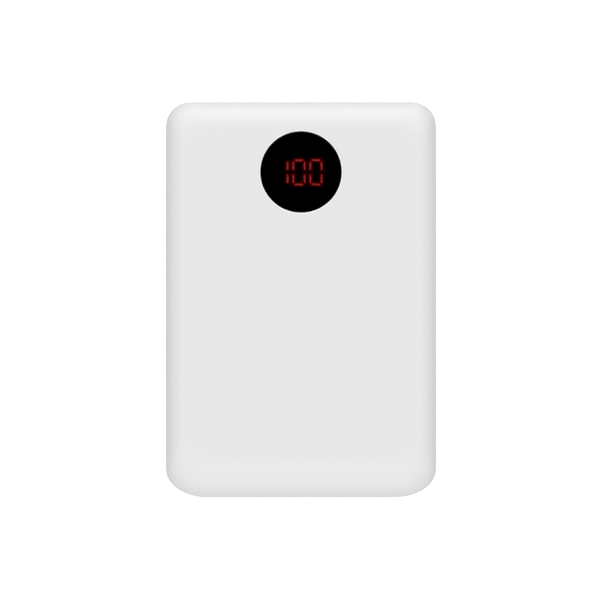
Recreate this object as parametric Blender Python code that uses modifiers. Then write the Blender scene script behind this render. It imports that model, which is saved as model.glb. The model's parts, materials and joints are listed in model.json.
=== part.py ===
"""A pocket power bank: two domed covers that close on a lip, a round numeric display, a plate with four
sockets, a side button over a tactile switch, a circuit board and two flat cells.

The bank lies on its back. The origin is the middle of the rear face, +Z leaves the front face, +Y points
to the end that holds the display and the sockets, and +X is on the right of somebody facing the front.
"""

from math import cos, pi, sin

import bmesh
import bpy
from mathutils import Matrix, Vector

MM = 0.001

# Driving dimensions of the casing.
WIDTH = 62.0 * MM
LENGTH = 90.6 * MM
THICKNESS = 22.4 * MM
WALL = 1.6 * MM
HALF_X = WIDTH / 2
HALF_Y = LENGTH / 2
MIDDLE = THICKNESS / 2

# The outline's corners: (radius along X, radius along Y) at the display end and at the far end.
DISPLAY_END_CORNER = (5.5 * MM, 5.5 * MM)
FAR_END_CORNER = (9.2 * MM, 6.4 * MM)
CORNER_STEPS = 6

# How the walls roll over into the faces: (inset, squareness) on the sides and at each end, and the height.
ROLL_SIDE = (5.5 * MM, 2.15)
ROLL_DISPLAY_END = (7.0 * MM, 2.8)
ROLL_FAR_END = (11.0 * MM, 2.0)
ROLL_HEIGHT = 8.7 * MM
ROLL_STEPS = 7

# The joint between the covers.
SEAM = 0.2 * MM
SEAM_CHAMFER = 0.15 * MM
LIP_OUTER = 1.0 * MM
LIP_HEIGHT = 1.35 * MM
REBATE_DEPTH = 0.75 * MM
REBATE_HEIGHT = 1.35 * MM

# What the covers carry inside. OVERLAP is how far a joined shape reaches into the wall.
OVERLAP = 0.4 * MM
HOOK_PLACES = (-28.0 * MM, 4.0 * MM)
HOOK_WIDTH = 4.0 * MM
HOOK_STEM = (27.6 * MM, 28.5 * MM, 6.2 * MM, 14.9 * MM)
HOOK_FOOT = (27.6 * MM, HALF_X - WALL + OVERLAP, 6.4 * MM, 8.2 * MM)
HOOK_BARB = (28.0 * MM, 29.2 * MM, 13.9 * MM, 14.7 * MM)
CATCH = (HALF_X - WALL - OVERLAP, HALF_X - WALL + OVERLAP, 12.9 * MM, 13.6 * MM)
CATCH_WIDTH = 4.8 * MM
REAR_RIB = ((-20.0 * MM, 22.9 * MM, WALL - OVERLAP), (20.0 * MM, 23.7 * MM, 5.8 * MM))

# The display, from its face down. CLEAR is the gap between pieces that rest on each other.
CLEAR = 0.1 * MM
DISPLAY_Y = 28.94 * MM
LENS_RADIUS = 9.22 * MM
LENS_THICKNESS = 1.2 * MM
LENS_TOP = THICKNESS - 0.25 * MM
BEZEL_INNER = 9.26 * MM
BEZEL_OUTER = 9.53 * MM
BEZEL_TOP = THICKNESS - 0.08 * MM
WINDOW_RADIUS = BEZEL_OUTER + CLEAR
SIGHT_RADIUS = 7.9 * MM
SEAT_RADIUS = 10.5 * MM
SEAT_BOTTOM = 19.4 * MM
LEDGE_TOP = 20.62 * MM
DIGIT_X = -0.47 * MM
DIGIT_PITCH = 3.86 * MM
DIGIT_WIDTH = 2.54 * MM
DIGIT_HEIGHT = 5.5 * MM
SEGMENT_WIDTH = 0.46 * MM
SEGMENT_GAP = 0.18 * MM
SEGMENT_WAIST = 0.33 * MM
SEGMENT_END = 0.1 * MM
MODULE_SIZE = (12.6 * MM, 7.6 * MM)
MODULE_TOP = 20.45 * MM
MODULE_BOTTOM = 15.5 * MM
MODULE_RIM = 0.7 * MM
GUIDE_TOP = MODULE_TOP - 1.4 * MM
GUIDE_THICKNESS = 1.0 * MM
BAR_TOP = MODULE_TOP - 0.1 * MM
BAR_CLEAR = 0.05 * MM
MODULE_BOARD = 0.8 * MM
GASKET_WIDTH = 1.6 * MM
GASKET_THICKNESS = 1.2 * MM
RIBBON_HALF_WIDTH = 3.0 * MM
RIBBON_THICKNESS = 0.2 * MM

# The plate at the end and the sockets behind it.
PORT_CLEAR = 0.25 * MM
PLATE_SIZE = (49.8 * MM, 7.8 * MM)
PLATE_FRONT = HALF_Y - 0.15 * MM
PLATE_FLANGE = (49.0 * MM, 9.8 * MM)
FLANGE_FRONT = HALF_Y - WALL - 0.6 * MM
FLANGE_BACK = FLANGE_FRONT - 1.2 * MM
SOCKET_FRONT = HALF_Y - 0.7 * MM
SHEET = 0.3 * MM
TONGUE_BACK = 0.2 * MM
OUTPUT_X = 17.2 * MM
OUTPUT_SIZE = (13.1 * MM, 5.7 * MM)
OUTPUT_DEPTH = 14.0 * MM
OUTPUT_BODY = 3.6 * MM
OUTPUT_TONGUE = (11.0 * MM, 1.84 * MM)
OUTPUT_TONGUE_DROP = 0.64 * MM
OUTPUT_TONGUE_FRONT = SOCKET_FRONT - 1.2 * MM
CONTACT_WIDTH = 1.0 * MM
CONTACT_THICKNESS = 0.15 * MM
CONTACT_X = (-3.5 * MM, -1.0 * MM, 1.0 * MM, 3.5 * MM)
ROUND_INPUT_X = 4.9 * MM
ROUND_INPUT_SIZE = (8.94 * MM, 3.26 * MM)
ROUND_INPUT_DEPTH = 7.5 * MM
ROUND_INPUT_TONGUE = (6.6 * MM, 0.7 * MM)
ROUND_INPUT_TONGUE_FRONT = SOCKET_FRONT - 0.9 * MM
SMALL_INPUT_X = -5.6 * MM
SMALL_INPUT_SIZE = (7.5 * MM, 2.7 * MM)
SMALL_INPUT_CHAMFER = 0.9 * MM
SMALL_INPUT_DEPTH = 5.8 * MM
SMALL_INPUT_TONGUE = (3.7 * MM, 0.6 * MM)
SMALL_INPUT_TONGUE_DROP = 0.45 * MM
SMALL_INPUT_TONGUE_FRONT = SOCKET_FRONT - 0.8 * MM
INPUT_BOTTOM = 8.3 * MM
INPUT_BODY = 1.5 * MM

# The circuit board and what stands on it.
BOARD_WIDTH = 56.0 * MM
BOARD_BACK = 24.0 * MM
BOARD_FRONT = 41.6 * MM
BOARD_TOP = 8.1 * MM
BOARD_THICKNESS = 1.2 * MM
PART_BOTTOM = BOARD_TOP + CLEAR
SCREWS = {"left": (-25.0 * MM, 27.2 * MM), "right": (17.8 * MM, 27.4 * MM)}
SCREW_HOLE = 1.25 * MM
SCREW_SHANK = 0.95 * MM
SCREW_HEAD = 2.0 * MM
BOSS_RADIUS = 2.3 * MM
PILOT_RADIUS = 0.75 * MM
PILOT_BOTTOM = 2.6 * MM
POST_RADIUS = 1.5 * MM
POST_Y = 36.0 * MM
THREAD_RADIUS = 0.62 * MM
HEAD_HEIGHT = 1.3 * MM
SLOT_REACH = 0.9 * MM
SLOT_HALF_WIDTH = 0.2 * MM

# Square parts on the board: centre, size along X and Y, height, finish and how much their edges are rounded.
BOARD_PARTS = {
    "boost_inductor": ((-3.7 * MM, 33.7 * MM), (6.8 * MM, 6.8 * MM), 4.2 * MM, "ferrite_grey", 0.5 * MM),
    "charge_inductor": ((-19.0 * MM, 27.3 * MM), (5.6 * MM, 5.6 * MM), 3.0 * MM, "ferrite_grey", 0.4 * MM),
    "controller_chip": ((6.4 * MM, 28.4 * MM), (4.6 * MM, 4.6 * MM), 0.9 * MM, "chip_black", 0.1 * MM),
    "protection_chip": ((-9.6 * MM, 28.7 * MM), (3.0 * MM, 2.6 * MM), 1.0 * MM, "chip_black", 0.1 * MM),
    "power_transistor": ((12.9 * MM, 28.9 * MM), (4.6 * MM, 2.8 * MM), 1.1 * MM, "chip_black", 0.1 * MM),
    "charge_chip": ((-25.9 * MM, 33.6 * MM), (3.0 * MM, 3.0 * MM), 0.9 * MM, "chip_black", 0.1 * MM),
    "sense_resistor": ((25.9 * MM, 34.0 * MM), (1.6 * MM, 3.2 * MM), 0.6 * MM, "chip_black", 0.1 * MM),
    "ceramic_capacitor_1": ((-25.9 * MM, 38.2 * MM), (1.6 * MM, 3.2 * MM), 1.6 * MM, "ceramic_tan", 0.1 * MM),
    "ceramic_capacitor_2": ((25.9 * MM, 38.6 * MM), (1.6 * MM, 3.2 * MM), 1.6 * MM, "ceramic_tan", 0.1 * MM),
}
CAPACITOR_X = (3.4 * MM, 8.0 * MM)
CAPACITOR_Y = 33.6 * MM
CAPACITOR_RADIUS = 2.15 * MM
CAPACITOR_HEIGHT = 5.3 * MM

# The button and the switch that it presses.
BUTTON_Y = 27.2 * MM
BUTTON_SIZE = (10.0 * MM, 3.8 * MM)
BUTTON_CLEAR = 0.2 * MM
BUTTON_FLANGE = (12.0 * MM, 5.4 * MM)
BUTTON_FACE = HALF_X - 0.05 * MM
SWITCH_BACK = 22.0 * MM
SWITCH_FRONT = 25.4 * MM
SWITCH_SIZE = (6.0 * MM, 5.8 * MM)
WELL_RADIUS = 2.3 * MM
WELL_BOTTOM = SWITCH_BACK + 0.8 * MM
DOME_RADIUS = 2.1 * MM
DOME_CROWN_RADIUS = 1.1 * MM
DOME_FOOT = WELL_BOTTOM + CLEAR
DOME_SHOULDER = WELL_BOTTOM + 0.3 * MM
DOME_TOP = WELL_BOTTOM + 0.6 * MM
PLUNGER_RADIUS = 1.6 * MM
PLUNGER_FOOT = DOME_TOP + 0.6 * MM

# The cells.
CELL_HALF_WIDTH = 26.6 * MM
CELL_FAR = -38.8 * MM
CELL_NEAR = 18.6 * MM
TERRACE_NEAR = 22.0 * MM
CELL_THICKNESS = 8.5 * MM
REAR_CELL_BOTTOM = 2.4 * MM
FRONT_CELL_BOTTOM = 11.5 * MM
CELL_EDGE = 2.0 * MM
TAB_X = 12.0 * MM
TAB_WIDTH = 6.0 * MM
TAB_THICKNESS = 0.2 * MM
PAD_LOW = (-24.0 * MM, -32.0 * MM)
PAD_HIGH = (24.0 * MM, 15.0 * MM)
INSULATION = ((-24.0 * MM, 22.35 * MM, 8.6 * MM), (24.0 * MM, 22.65 * MM, 15.3 * MM))

# How finely round pieces are divided, how near points are merged, which edges stay sharp, and what is flat.
ROUND_STEPS = 32
MERGE = 0.001 * MM
SHARP = pi / 5
FLAT = pi / 1000

COLOURS = {
    "white_gloss": ((0.86, 0.86, 0.86), 0.22, 0.0),
    "white_satin": ((0.82, 0.82, 0.82), 0.45, 0.0),
    "bright_white": ((0.93, 0.93, 0.93), 0.2, 0.0),
    "smoked_lens": ((0.01, 0.01, 0.012), 0.08, 0.0),
    "black_plastic": ((0.02, 0.02, 0.022), 0.5, 0.0),
    "red_diffuser": ((0.6, 0.03, 0.04), 0.4, 0.0),
    "black_foam": ((0.03, 0.03, 0.03), 0.9, 0.0),
    "grey_foam": ((0.25, 0.25, 0.27), 0.95, 0.0),
    "clear_tape": ((0.7, 0.66, 0.5), 0.5, 0.0),
    "board_green": ((0.02, 0.16, 0.07), 0.4, 0.0),
    "socket_steel": ((0.72, 0.72, 0.74), 0.25, 1.0),
    "contact_gold": ((0.83, 0.62, 0.25), 0.25, 1.0),
    "nickel": ((0.62, 0.6, 0.56), 0.35, 1.0),
    "cell_foil": ((0.6, 0.61, 0.63), 0.38, 0.9),
    "ferrite_grey": ((0.09, 0.09, 0.1), 0.6, 0.0),
    "chip_black": ((0.025, 0.025, 0.028), 0.45, 0.0),
    "can_aluminium": ((0.78, 0.79, 0.8), 0.3, 1.0),
    "ribbon_amber": ((0.5, 0.24, 0.04), 0.35, 0.0),
    "fish_paper": ((0.55, 0.6, 0.52), 0.8, 0.0),
    "ceramic_tan": ((0.45, 0.33, 0.22), 0.5, 0.0),
}

for old in list(bpy.data.objects):
    bpy.data.objects.remove(old)

bank = bpy.data.collections.new("power_bank")
cutters = bpy.data.collections.new("cutters")
bpy.context.scene.collection.children.link(bank)
bpy.context.scene.collection.children.link(cutters)
materials = {}


def material(name):
    """The material of that name, made the first time it is asked for."""
    if name not in materials:
        colour, roughness, metallic = COLOURS[name]
        made = bpy.data.materials.new(name)
        made.use_nodes = True
        shader = made.node_tree.nodes["Principled BSDF"]
        shader.inputs["Base Color"].default_value = (*colour, 1.0)
        shader.inputs["Roughness"].default_value = roughness
        shader.inputs["Metallic"].default_value = metallic
        materials[name] = made
    return materials[name]


def place(name, mesh, finish):
    """An object that shows a mesh. With no finish it is a cutter or another helper, which is hidden."""
    obj = bpy.data.objects.new(name, mesh)
    if finish is None:
        cutters.objects.link(obj)
        obj.hide_render = True
        obj.display_type = "WIRE"
    else:
        bank.objects.link(obj)
        mesh.materials.append(material(finish))
        mesh.shade_smooth()
        mesh.set_sharp_from_angle(angle=SHARP)
    return obj


def to_mesh(name, bm):
    """A mesh made from bm, with its faces pointing outwards."""
    bmesh.ops.recalc_face_normals(bm, faces=bm.faces)
    mesh = bpy.data.meshes.new(name)
    bm.to_mesh(mesh)
    bm.free()
    return mesh


def block(name, low, high, finish=None, edge=0.0):
    """A box between two corners, with its edges cut by a Bevel if edge is given."""
    bm = bmesh.new()
    bmesh.ops.create_cube(bm, size=1.0)
    low = Vector(low)
    high = Vector(high)
    bmesh.ops.scale(bm, vec=high - low, verts=bm.verts)
    obj = place(name, to_mesh(name, bm), finish)
    obj.location = (low + high) / 2
    if edge:
        bevel = obj.modifiers.new("edges", "BEVEL")
        bevel.width = edge
        bevel.segments = 1
    return obj


def disc(name, radius, centre, axis, start, end, finish=None, steps=ROUND_STEPS):
    """A cylinder along X or Z, between two places on that axis. Centre holds its other two coordinates."""
    bm = bmesh.new()
    bmesh.ops.create_cone(
        bm, cap_ends=True, segments=steps, radius1=radius, radius2=radius, depth=end - start
    )
    obj = place(name, to_mesh(name, bm), finish)
    middle = (start + end) / 2
    if axis == "X":
        obj.rotation_euler = (0, pi / 2, 0)
        obj.location = (middle, *centre)
    else:
        obj.location = (*centre, middle)
    return obj


def turned(name, profile, centre, finish=None, steps=ROUND_STEPS):
    """A profile of (radius, height) points, going up its outer side, turned about an upright axis.

    A profile that starts on the axis makes a solid piece. One that starts off it is closed to make a ring.
    """
    points = [(radius, 0, height) for radius, height in reversed(profile)]
    edges = [(index, index + 1) for index in range(len(points) - 1)]
    if profile[0][0] > 0:
        edges.append((len(points) - 1, 0))
    mesh = bpy.data.meshes.new(name)
    mesh.from_pydata(points, edges, [])
    obj = place(name, mesh, finish)
    obj.location = (*centre, 0)
    screw = obj.modifiers.new("turning", "SCREW")
    screw.axis = "Z"
    screw.steps = steps
    screw.render_steps = steps
    screw.use_merge_vertices = True
    screw.merge_threshold = MERGE
    return obj


def prism(name, outline, plane, start, end, finish=None):
    """A flat outline, filled and extruded between two places on the axis across its plane: XY, XZ or YZ."""
    curve = bpy.data.curves.new(name, "CURVE")
    curve.dimensions = "2D"
    curve.fill_mode = "BOTH"
    curve.extrude = (end - start) / 2
    spline = curve.splines.new("POLY")
    spline.points.add(len(outline) - 1)
    for point, (u, v) in zip(spline.points, outline):
        point.co = (u, v, 0, 1)
    spline.use_cyclic_u = True
    guide = bpy.data.objects.new(name, curve)
    cutters.objects.link(guide)
    bpy.context.view_layer.update()
    evaluated = guide.evaluated_get(bpy.context.evaluated_depsgraph_get())
    flat = bpy.data.meshes.new_from_object(evaluated)
    bpy.data.objects.remove(guide)

    bm = bmesh.new()
    bm.from_mesh(flat)
    bpy.data.meshes.remove(flat)
    bmesh.ops.remove_doubles(bm, verts=bm.verts, dist=MERGE)
    bmesh.ops.dissolve_limit(bm, angle_limit=FLAT, verts=bm.verts, edges=bm.edges)
    obj = place(name, to_mesh(name, bm), finish)
    middle = (start + end) / 2
    if plane == "XY":
        obj.location = (0, 0, middle)
    elif plane == "XZ":
        obj.rotation_euler = (pi / 2, 0, 0)
        obj.location = (0, middle, 0)
    else:
        obj.rotation_euler = (pi / 2, 0, pi / 2)
        obj.location = (middle, 0, 0)
    return obj


def rounded(size, radius, centre=(0, 0), steps=3):
    """The outline of a rectangle with round corners, anticlockwise."""
    half = (size[0] / 2 - radius, size[1] / 2 - radius)
    points = []
    for quarter, (across, up) in enumerate(((1, 1), (-1, 1), (-1, -1), (1, -1))):
        for step in range(steps + 1):
            angle = (quarter + step / steps) * pi / 2
            points.append(
                (
                    centre[0] + across * half[0] + radius * cos(angle),
                    centre[1] + up * half[1] + radius * sin(angle),
                )
            )
    return points


def stadium(size, centre=(0, 0), steps=6):
    """The outline of a bar with half-round ends."""
    radius = size[1] / 2 - 0.001 * MM
    return rounded(size, radius, centre, steps)


def grown(size, by):
    """A size made larger by the same amount on every side."""
    return (size[0] + 2 * by, size[1] + 2 * by)


def change(obj, other, operation):
    """Adds a Boolean of another object, which is then only a helper."""
    boolean = obj.modifiers.new(other.name, "BOOLEAN")
    boolean.operation = operation
    boolean.object = other
    return obj


def cut(obj, *others):
    """Takes other shapes away from an object."""
    for other in others:
        change(obj, other, "DIFFERENCE")
    return obj


def join(obj, *others):
    """Adds other shapes, which overlap it, to an object."""
    for other in others:
        change(obj, other, "UNION")
    return obj


def casing_outline():
    """The casing's outline where it is widest, anticlockwise, corner by corner."""
    points = []
    corners = (
        (1, 1, DISPLAY_END_CORNER),
        (-1, 1, DISPLAY_END_CORNER),
        (-1, -1, FAR_END_CORNER),
        (1, -1, FAR_END_CORNER),
    )
    for quarter, (across, up, (radius_x, radius_y)) in enumerate(corners):
        for step in range(CORNER_STEPS + 1):
            angle = (quarter + step / CORNER_STEPS) * pi / 2
            points.append(
                (
                    across * (HALF_X - radius_x) + radius_x * cos(angle),
                    up * (HALF_Y - radius_y) + radius_y * sin(angle),
                )
            )
    return points


def even(inset, height):
    """A ring with the same inset on the sides and at both ends."""
    return inset, inset, inset, height


def roll(wall):
    """The curve from a wall to a face: (side, display end and far end insets, height over the middle) by ring."""
    rings = []
    for step in range(ROLL_STEPS + 1):
        upwards = sin(step / ROLL_STEPS * pi / 2) ** (2 / ROLL_SIDE[1])
        insets = [
            wall + (inset - wall) * (1 - max(0.0, 1 - upwards**power) ** (1 / power))
            for inset, power in (ROLL_SIDE, ROLL_DISPLAY_END, ROLL_FAR_END)
        ]
        rings.append((*insets, MIDDLE - ROLL_HEIGHT + (ROLL_HEIGHT - wall) * upwards))
    return rings


def shell(name, rings, facing):
    """A cover lofted through rings from its seam over its outside, then down its inside to the seam.

    Each ring scales and shifts the outline to its three insets. Facing is 1 for the front, -1 for the rear.
    """
    outline = casing_outline()
    bm = bmesh.new()
    loops = []
    for side, display_end, far_end, height in rings:
        scale_x = 1 - side / HALF_X
        scale_y = 1 - (display_end + far_end) / LENGTH
        shift = (far_end - display_end) / 2
        level = MIDDLE + facing * height
        loops.append([bm.verts.new((x * scale_x, y * scale_y + shift, level)) for x, y in outline])
    count = len(outline)
    face_ring = ROLL_STEPS + 2
    for index, loop in enumerate(loops):
        following = loops[(index + 1) % len(loops)]
        if index == face_ring:
            bm.faces.new(loop)
            bm.faces.new(following)
            continue
        for k in range(count):
            after = (k + 1) % count
            bm.faces.new((loop[k], loop[after], following[after], following[k]))
    return place(name, to_mesh(name, bm), "white_gloss")


def front_shell():
    """The front cover's walls, with a rebate inside its seam."""
    seam = SEAM / 2
    outside = [even(SEAM_CHAMFER, seam), even(0.0, seam + SEAM_CHAMFER)]
    inside = [
        even(WALL, seam + REBATE_HEIGHT),
        even(REBATE_DEPTH, seam + REBATE_HEIGHT),
        even(REBATE_DEPTH, seam),
    ]
    return shell("front_cover", outside + roll(0.0) + roll(WALL)[::-1] + inside, 1)


def rear_shell():
    """The rear cover's walls, with a lip that stands into the front cover's rebate."""
    seam = SEAM / 2
    outside = [even(SEAM_CHAMFER, seam), even(0.0, seam + SEAM_CHAMFER)]
    lip_top = seam - LIP_HEIGHT
    inside = [even(WALL, lip_top), even(LIP_OUTER, lip_top), even(LIP_OUTER, seam)]
    return shell("rear_cover", outside + roll(0.0) + roll(WALL)[::-1] + inside, -1)


def cover_openings():
    """The notches that both covers share: the plate's at the end, and the button's in the side."""
    plate_hole = prism(
        "plate_opening",
        rounded(grown(PLATE_SIZE, 0.2 * MM), 1.6 * MM, (0, MIDDLE)),
        "XZ",
        HALF_Y - WALL - 1.0 * MM,
        HALF_Y + 1.0 * MM,
    )
    button_hole = prism(
        "button_opening",
        stadium(grown(BUTTON_SIZE, BUTTON_CLEAR), (BUTTON_Y, MIDDLE)),
        "YZ",
        HALF_X - WALL - 0.5 * MM,
        HALF_X + 1.0 * MM,
    )
    return plate_hole, button_hole


def side_blocks(name, profile, width):
    """Four boxes, two on each long side. Profile is (inner X, outer X, bottom, top) on the +X side."""
    inner, outer, bottom, top = profile
    boxes = []
    for side, across in (("left", -1), ("right", 1)):
        low, high = sorted((across * inner, across * outer))
        for number, along in enumerate(HOOK_PLACES, 1):
            boxes.append(
                block(
                    f"{name}_{side}_{number}",
                    (low, along - width / 2, bottom),
                    (high, along + width / 2, top),
                )
            )
    return boxes


def make_front_cover(openings):
    """The front cover, with the lens's recess and the catches that the hooks hold."""
    front = front_shell()
    top = THICKNESS - WALL + OVERLAP
    join(front, disc("lens_seat", SEAT_RADIUS, (0, DISPLAY_Y), "Z", SEAT_BOTTOM, top, steps=48))
    join(front, *side_blocks("catch", CATCH, CATCH_WIDTH))
    window = turned(
        "window_opening",
        [
            (0, SEAT_BOTTOM - 1 * MM),
            (SIGHT_RADIUS, SEAT_BOTTOM - 1 * MM),
            (SIGHT_RADIUS, LEDGE_TOP),
            (WINDOW_RADIUS, LEDGE_TOP),
            (WINDOW_RADIUS, THICKNESS + 1 * MM),
            (0, THICKNESS + 1 * MM),
        ],
        (0, DISPLAY_Y),
        steps=48,
    )
    cut(front, window, *openings)


def make_rear_cover(openings):
    """The rear cover, with the screw bosses, the board's posts, a rib and four hooks."""
    rear = rear_shell()
    bottom = WALL - OVERLAP
    top = BOARD_TOP - BOARD_THICKNESS - CLEAR
    for name, place in SCREWS.items():
        join(rear, disc(f"boss_{name}", BOSS_RADIUS, place, "Z", bottom, top, steps=20))
    for name, across in (("left", -OUTPUT_X), ("right", OUTPUT_X)):
        join(rear, disc(f"post_{name}", POST_RADIUS, (across, POST_Y), "Z", bottom, top, steps=16))
    for name, profile in (("stem", HOOK_STEM), ("foot", HOOK_FOOT), ("barb", HOOK_BARB)):
        join(rear, *side_blocks(f"hook_{name}", profile, HOOK_WIDTH))
    join(rear, block("rear_rib", *REAR_RIB))
    for name, place in SCREWS.items():
        cut(rear, disc(f"pilot_{name}", PILOT_RADIUS, place, "Z", PILOT_BOTTOM, BOARD_TOP, steps=16))
    cut(rear, *openings)


def make_display():
    """The lens and its ring, and the numeric module behind it."""
    centre = (0, DISPLAY_Y)
    turned(
        "lens_bezel",
        [
            (BEZEL_INNER, LEDGE_TOP + CLEAR),
            (BEZEL_OUTER, LEDGE_TOP + CLEAR),
            (BEZEL_OUTER, BEZEL_TOP - 0.06 * MM),
            (BEZEL_OUTER - 0.08 * MM, BEZEL_TOP),
            (BEZEL_INNER + 0.08 * MM, BEZEL_TOP),
            (BEZEL_INNER, BEZEL_TOP - 0.06 * MM),
        ],
        centre,
        "bright_white",
        steps=48,
    )
    lens_bottom = LENS_TOP - LENS_THICKNESS
    turned(
        "display_lens",
        [
            (0, lens_bottom),
            (LENS_RADIUS, lens_bottom),
            (LENS_RADIUS, LENS_TOP - 0.15 * MM),
            (LENS_RADIUS - 0.15 * MM, LENS_TOP),
            (0, LENS_TOP),
        ],
        centre,
        "smoked_lens",
        steps=48,
    )
    tape_bottom = LEDGE_TOP + 0.06 * MM
    tape_top = lens_bottom - 0.06 * MM
    turned(
        "lens_tape",
        [
            (SIGHT_RADIUS + 0.1 * MM, tape_bottom),
            (LENS_RADIUS - 0.1 * MM, tape_bottom),
            (LENS_RADIUS - 0.1 * MM, tape_top),
            (SIGHT_RADIUS + 0.1 * MM, tape_top),
        ],
        centre,
        "black_foam",
    )

    half_x = MODULE_SIZE[0] / 2
    half_y = MODULE_SIZE[1] / 2
    housing = block(
        "display_housing",
        (DIGIT_X - half_x, DISPLAY_Y - half_y, MODULE_BOTTOM),
        (DIGIT_X + half_x, DISPLAY_Y + half_y, MODULE_TOP),
        "black_plastic",
    )
    cut(
        housing,
        block(
            "housing_hollow",
            (DIGIT_X - half_x + MODULE_RIM, DISPLAY_Y - half_y + MODULE_RIM, MODULE_BOTTOM - 1 * MM),
            (DIGIT_X + half_x - MODULE_RIM, DISPLAY_Y + half_y - MODULE_RIM, GUIDE_TOP + CLEAR),
        ),
    )
    guide_x = half_x - MODULE_RIM - CLEAR
    guide_y = half_y - MODULE_RIM - CLEAR
    guide = block(
        "segment_light_guide",
        (DIGIT_X - guide_x, DISPLAY_Y - guide_y, GUIDE_TOP - GUIDE_THICKNESS),
        (DIGIT_X + guide_x, DISPLAY_Y + guide_y, GUIDE_TOP),
        "red_diffuser",
    )
    bar_bottom = GUIDE_TOP - GUIDE_THICKNESS / 2
    for number in range(3):
        middle_x = DIGIT_X + (number - 1) * DIGIT_PITCH
        for letter, outline in segments(middle_x, DISPLAY_Y).items():
            bar_name = f"bar_{number + 1}{letter}"
            cut(housing, prism(f"{bar_name}_hole", widened(outline), "XY", bar_bottom, MODULE_TOP + 1 * MM))
            join(guide, prism(bar_name, outline, "XY", bar_bottom, BAR_TOP))
    base_top = MODULE_BOTTOM - CLEAR
    base_bottom = base_top - MODULE_BOARD
    block(
        "display_base",
        (DIGIT_X - half_x, DISPLAY_Y - half_y, base_bottom),
        (DIGIT_X + half_x, DISPLAY_Y + half_y, base_top),
        "board_green",
    )
    gasket_x = half_x + GASKET_WIDTH
    gasket_y = half_y + GASKET_WIDTH
    gasket = block(
        "display_gasket",
        (DIGIT_X - gasket_x, DISPLAY_Y - gasket_y, SEAT_BOTTOM - CLEAR - GASKET_THICKNESS),
        (DIGIT_X + gasket_x, DISPLAY_Y + gasket_y, SEAT_BOTTOM - CLEAR),
        "black_foam",
    )
    cut(
        gasket,
        block(
            "gasket_hole",
            (DIGIT_X - half_x - CLEAR, DISPLAY_Y - half_y - CLEAR, MODULE_BOTTOM),
            (DIGIT_X + half_x + CLEAR, DISPLAY_Y + half_y + CLEAR, MODULE_TOP),
        ),
    )
    solder_height = PART_BOTTOM + RIBBON_THICKNESS
    ribbon_path = [
        (25.9 * MM, base_bottom - CLEAR),
        (25.9 * MM, 12.6 * MM),
        (26.4 * MM, 11.6 * MM),
        (26.4 * MM, 9.2 * MM),
        (27.1 * MM, solder_height),
        (29.4 * MM, solder_height),
    ]
    strip(
        "display_ribbon", ribbon_path, RIBBON_THICKNESS, -RIBBON_HALF_WIDTH, RIBBON_HALF_WIDTH, "ribbon_amber"
    )


def segments(middle_x, middle_y):
    """The seven bars of one digit, as pointed outlines named a to g."""
    half_w = DIGIT_WIDTH / 2
    half_h = DIGIT_HEIGHT / 2
    tip = SEGMENT_WIDTH / 2
    outlines = {}
    for letter, height in (("a", half_h), ("d", -half_h), ("g", 0.0)):
        reach = half_w - SEGMENT_GAP
        outlines[letter] = [
            (middle_x - reach, middle_y + height),
            (middle_x - reach + tip, middle_y + height - tip),
            (middle_x + reach - tip, middle_y + height - tip),
            (middle_x + reach, middle_y + height),
            (middle_x + reach - tip, middle_y + height + tip),
            (middle_x - reach + tip, middle_y + height + tip),
        ]
    for letter, across, up in (("b", 1, 1), ("c", 1, -1), ("e", -1, -1), ("f", -1, 1)):
        x = middle_x + across * half_w
        low, high = sorted((up * SEGMENT_WAIST, up * (half_h - SEGMENT_END)))
        outlines[letter] = [
            (x, middle_y + low),
            (x + tip, middle_y + low + tip),
            (x + tip, middle_y + high - tip),
            (x, middle_y + high),
            (x - tip, middle_y + high - tip),
            (x - tip, middle_y + low + tip),
        ]
    return outlines


def widened(outline, by=BAR_CLEAR):
    """A bar's outline moved out a little from its middle."""
    middle = sum((Vector(point) for point in outline), Vector((0, 0))) / len(outline)
    moved = []
    for point in outline:
        away = Vector(point) - middle
        moved.append(tuple(Vector(point) + away.normalized() * by))
    return moved


def strip(name, path, thickness, start, end, finish):
    """A thin strip that follows a path of (Y, Z) points, as wide along X as start to end."""
    points = [Vector(point) for point in path]
    upper = []
    lower = []
    for index, point in enumerate(points):
        before = points[max(index - 1, 0)]
        after = points[min(index + 1, len(points) - 1)]
        along = (after - before).normalized()
        across = Vector((-along.y, along.x)) * thickness / 2
        upper.append(tuple(point + across))
        lower.append(tuple(point - across))
    return prism(name, upper + lower[::-1], "YZ", start, end, finish)


def make_port_plate():
    """The plate that frames the four sockets, held behind the walls by its flange."""
    plate = prism(
        "port_plate",
        rounded(PLATE_SIZE, 1.4 * MM, (0, MIDDLE)),
        "XZ",
        FLANGE_FRONT - 0.5 * MM,
        PLATE_FRONT,
        "white_satin",
    )
    join(
        plate,
        prism("plate_flange", rounded(PLATE_FLANGE, 1.6 * MM, (0, MIDDLE)), "XZ", FLANGE_BACK, FLANGE_FRONT),
    )
    openings = [
        ("left_output_hole", rounded(grown(OUTPUT_SIZE, PORT_CLEAR), 0.5 * MM, (-OUTPUT_X, MIDDLE))),
        ("right_output_hole", rounded(grown(OUTPUT_SIZE, PORT_CLEAR), 0.5 * MM, (OUTPUT_X, MIDDLE))),
        (
            "round_input_hole",
            stadium(
                grown(ROUND_INPUT_SIZE, PORT_CLEAR),
                (ROUND_INPUT_X, INPUT_BOTTOM + ROUND_INPUT_SIZE[1] / 2),
            ),
        ),
        ("small_input_hole", small_input_outline(PORT_CLEAR)),
    ]
    for name, outline in openings:
        cut(plate, prism(name, outline, "XZ", FLANGE_BACK - 1 * MM, HALF_Y + 1 * MM))


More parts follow.
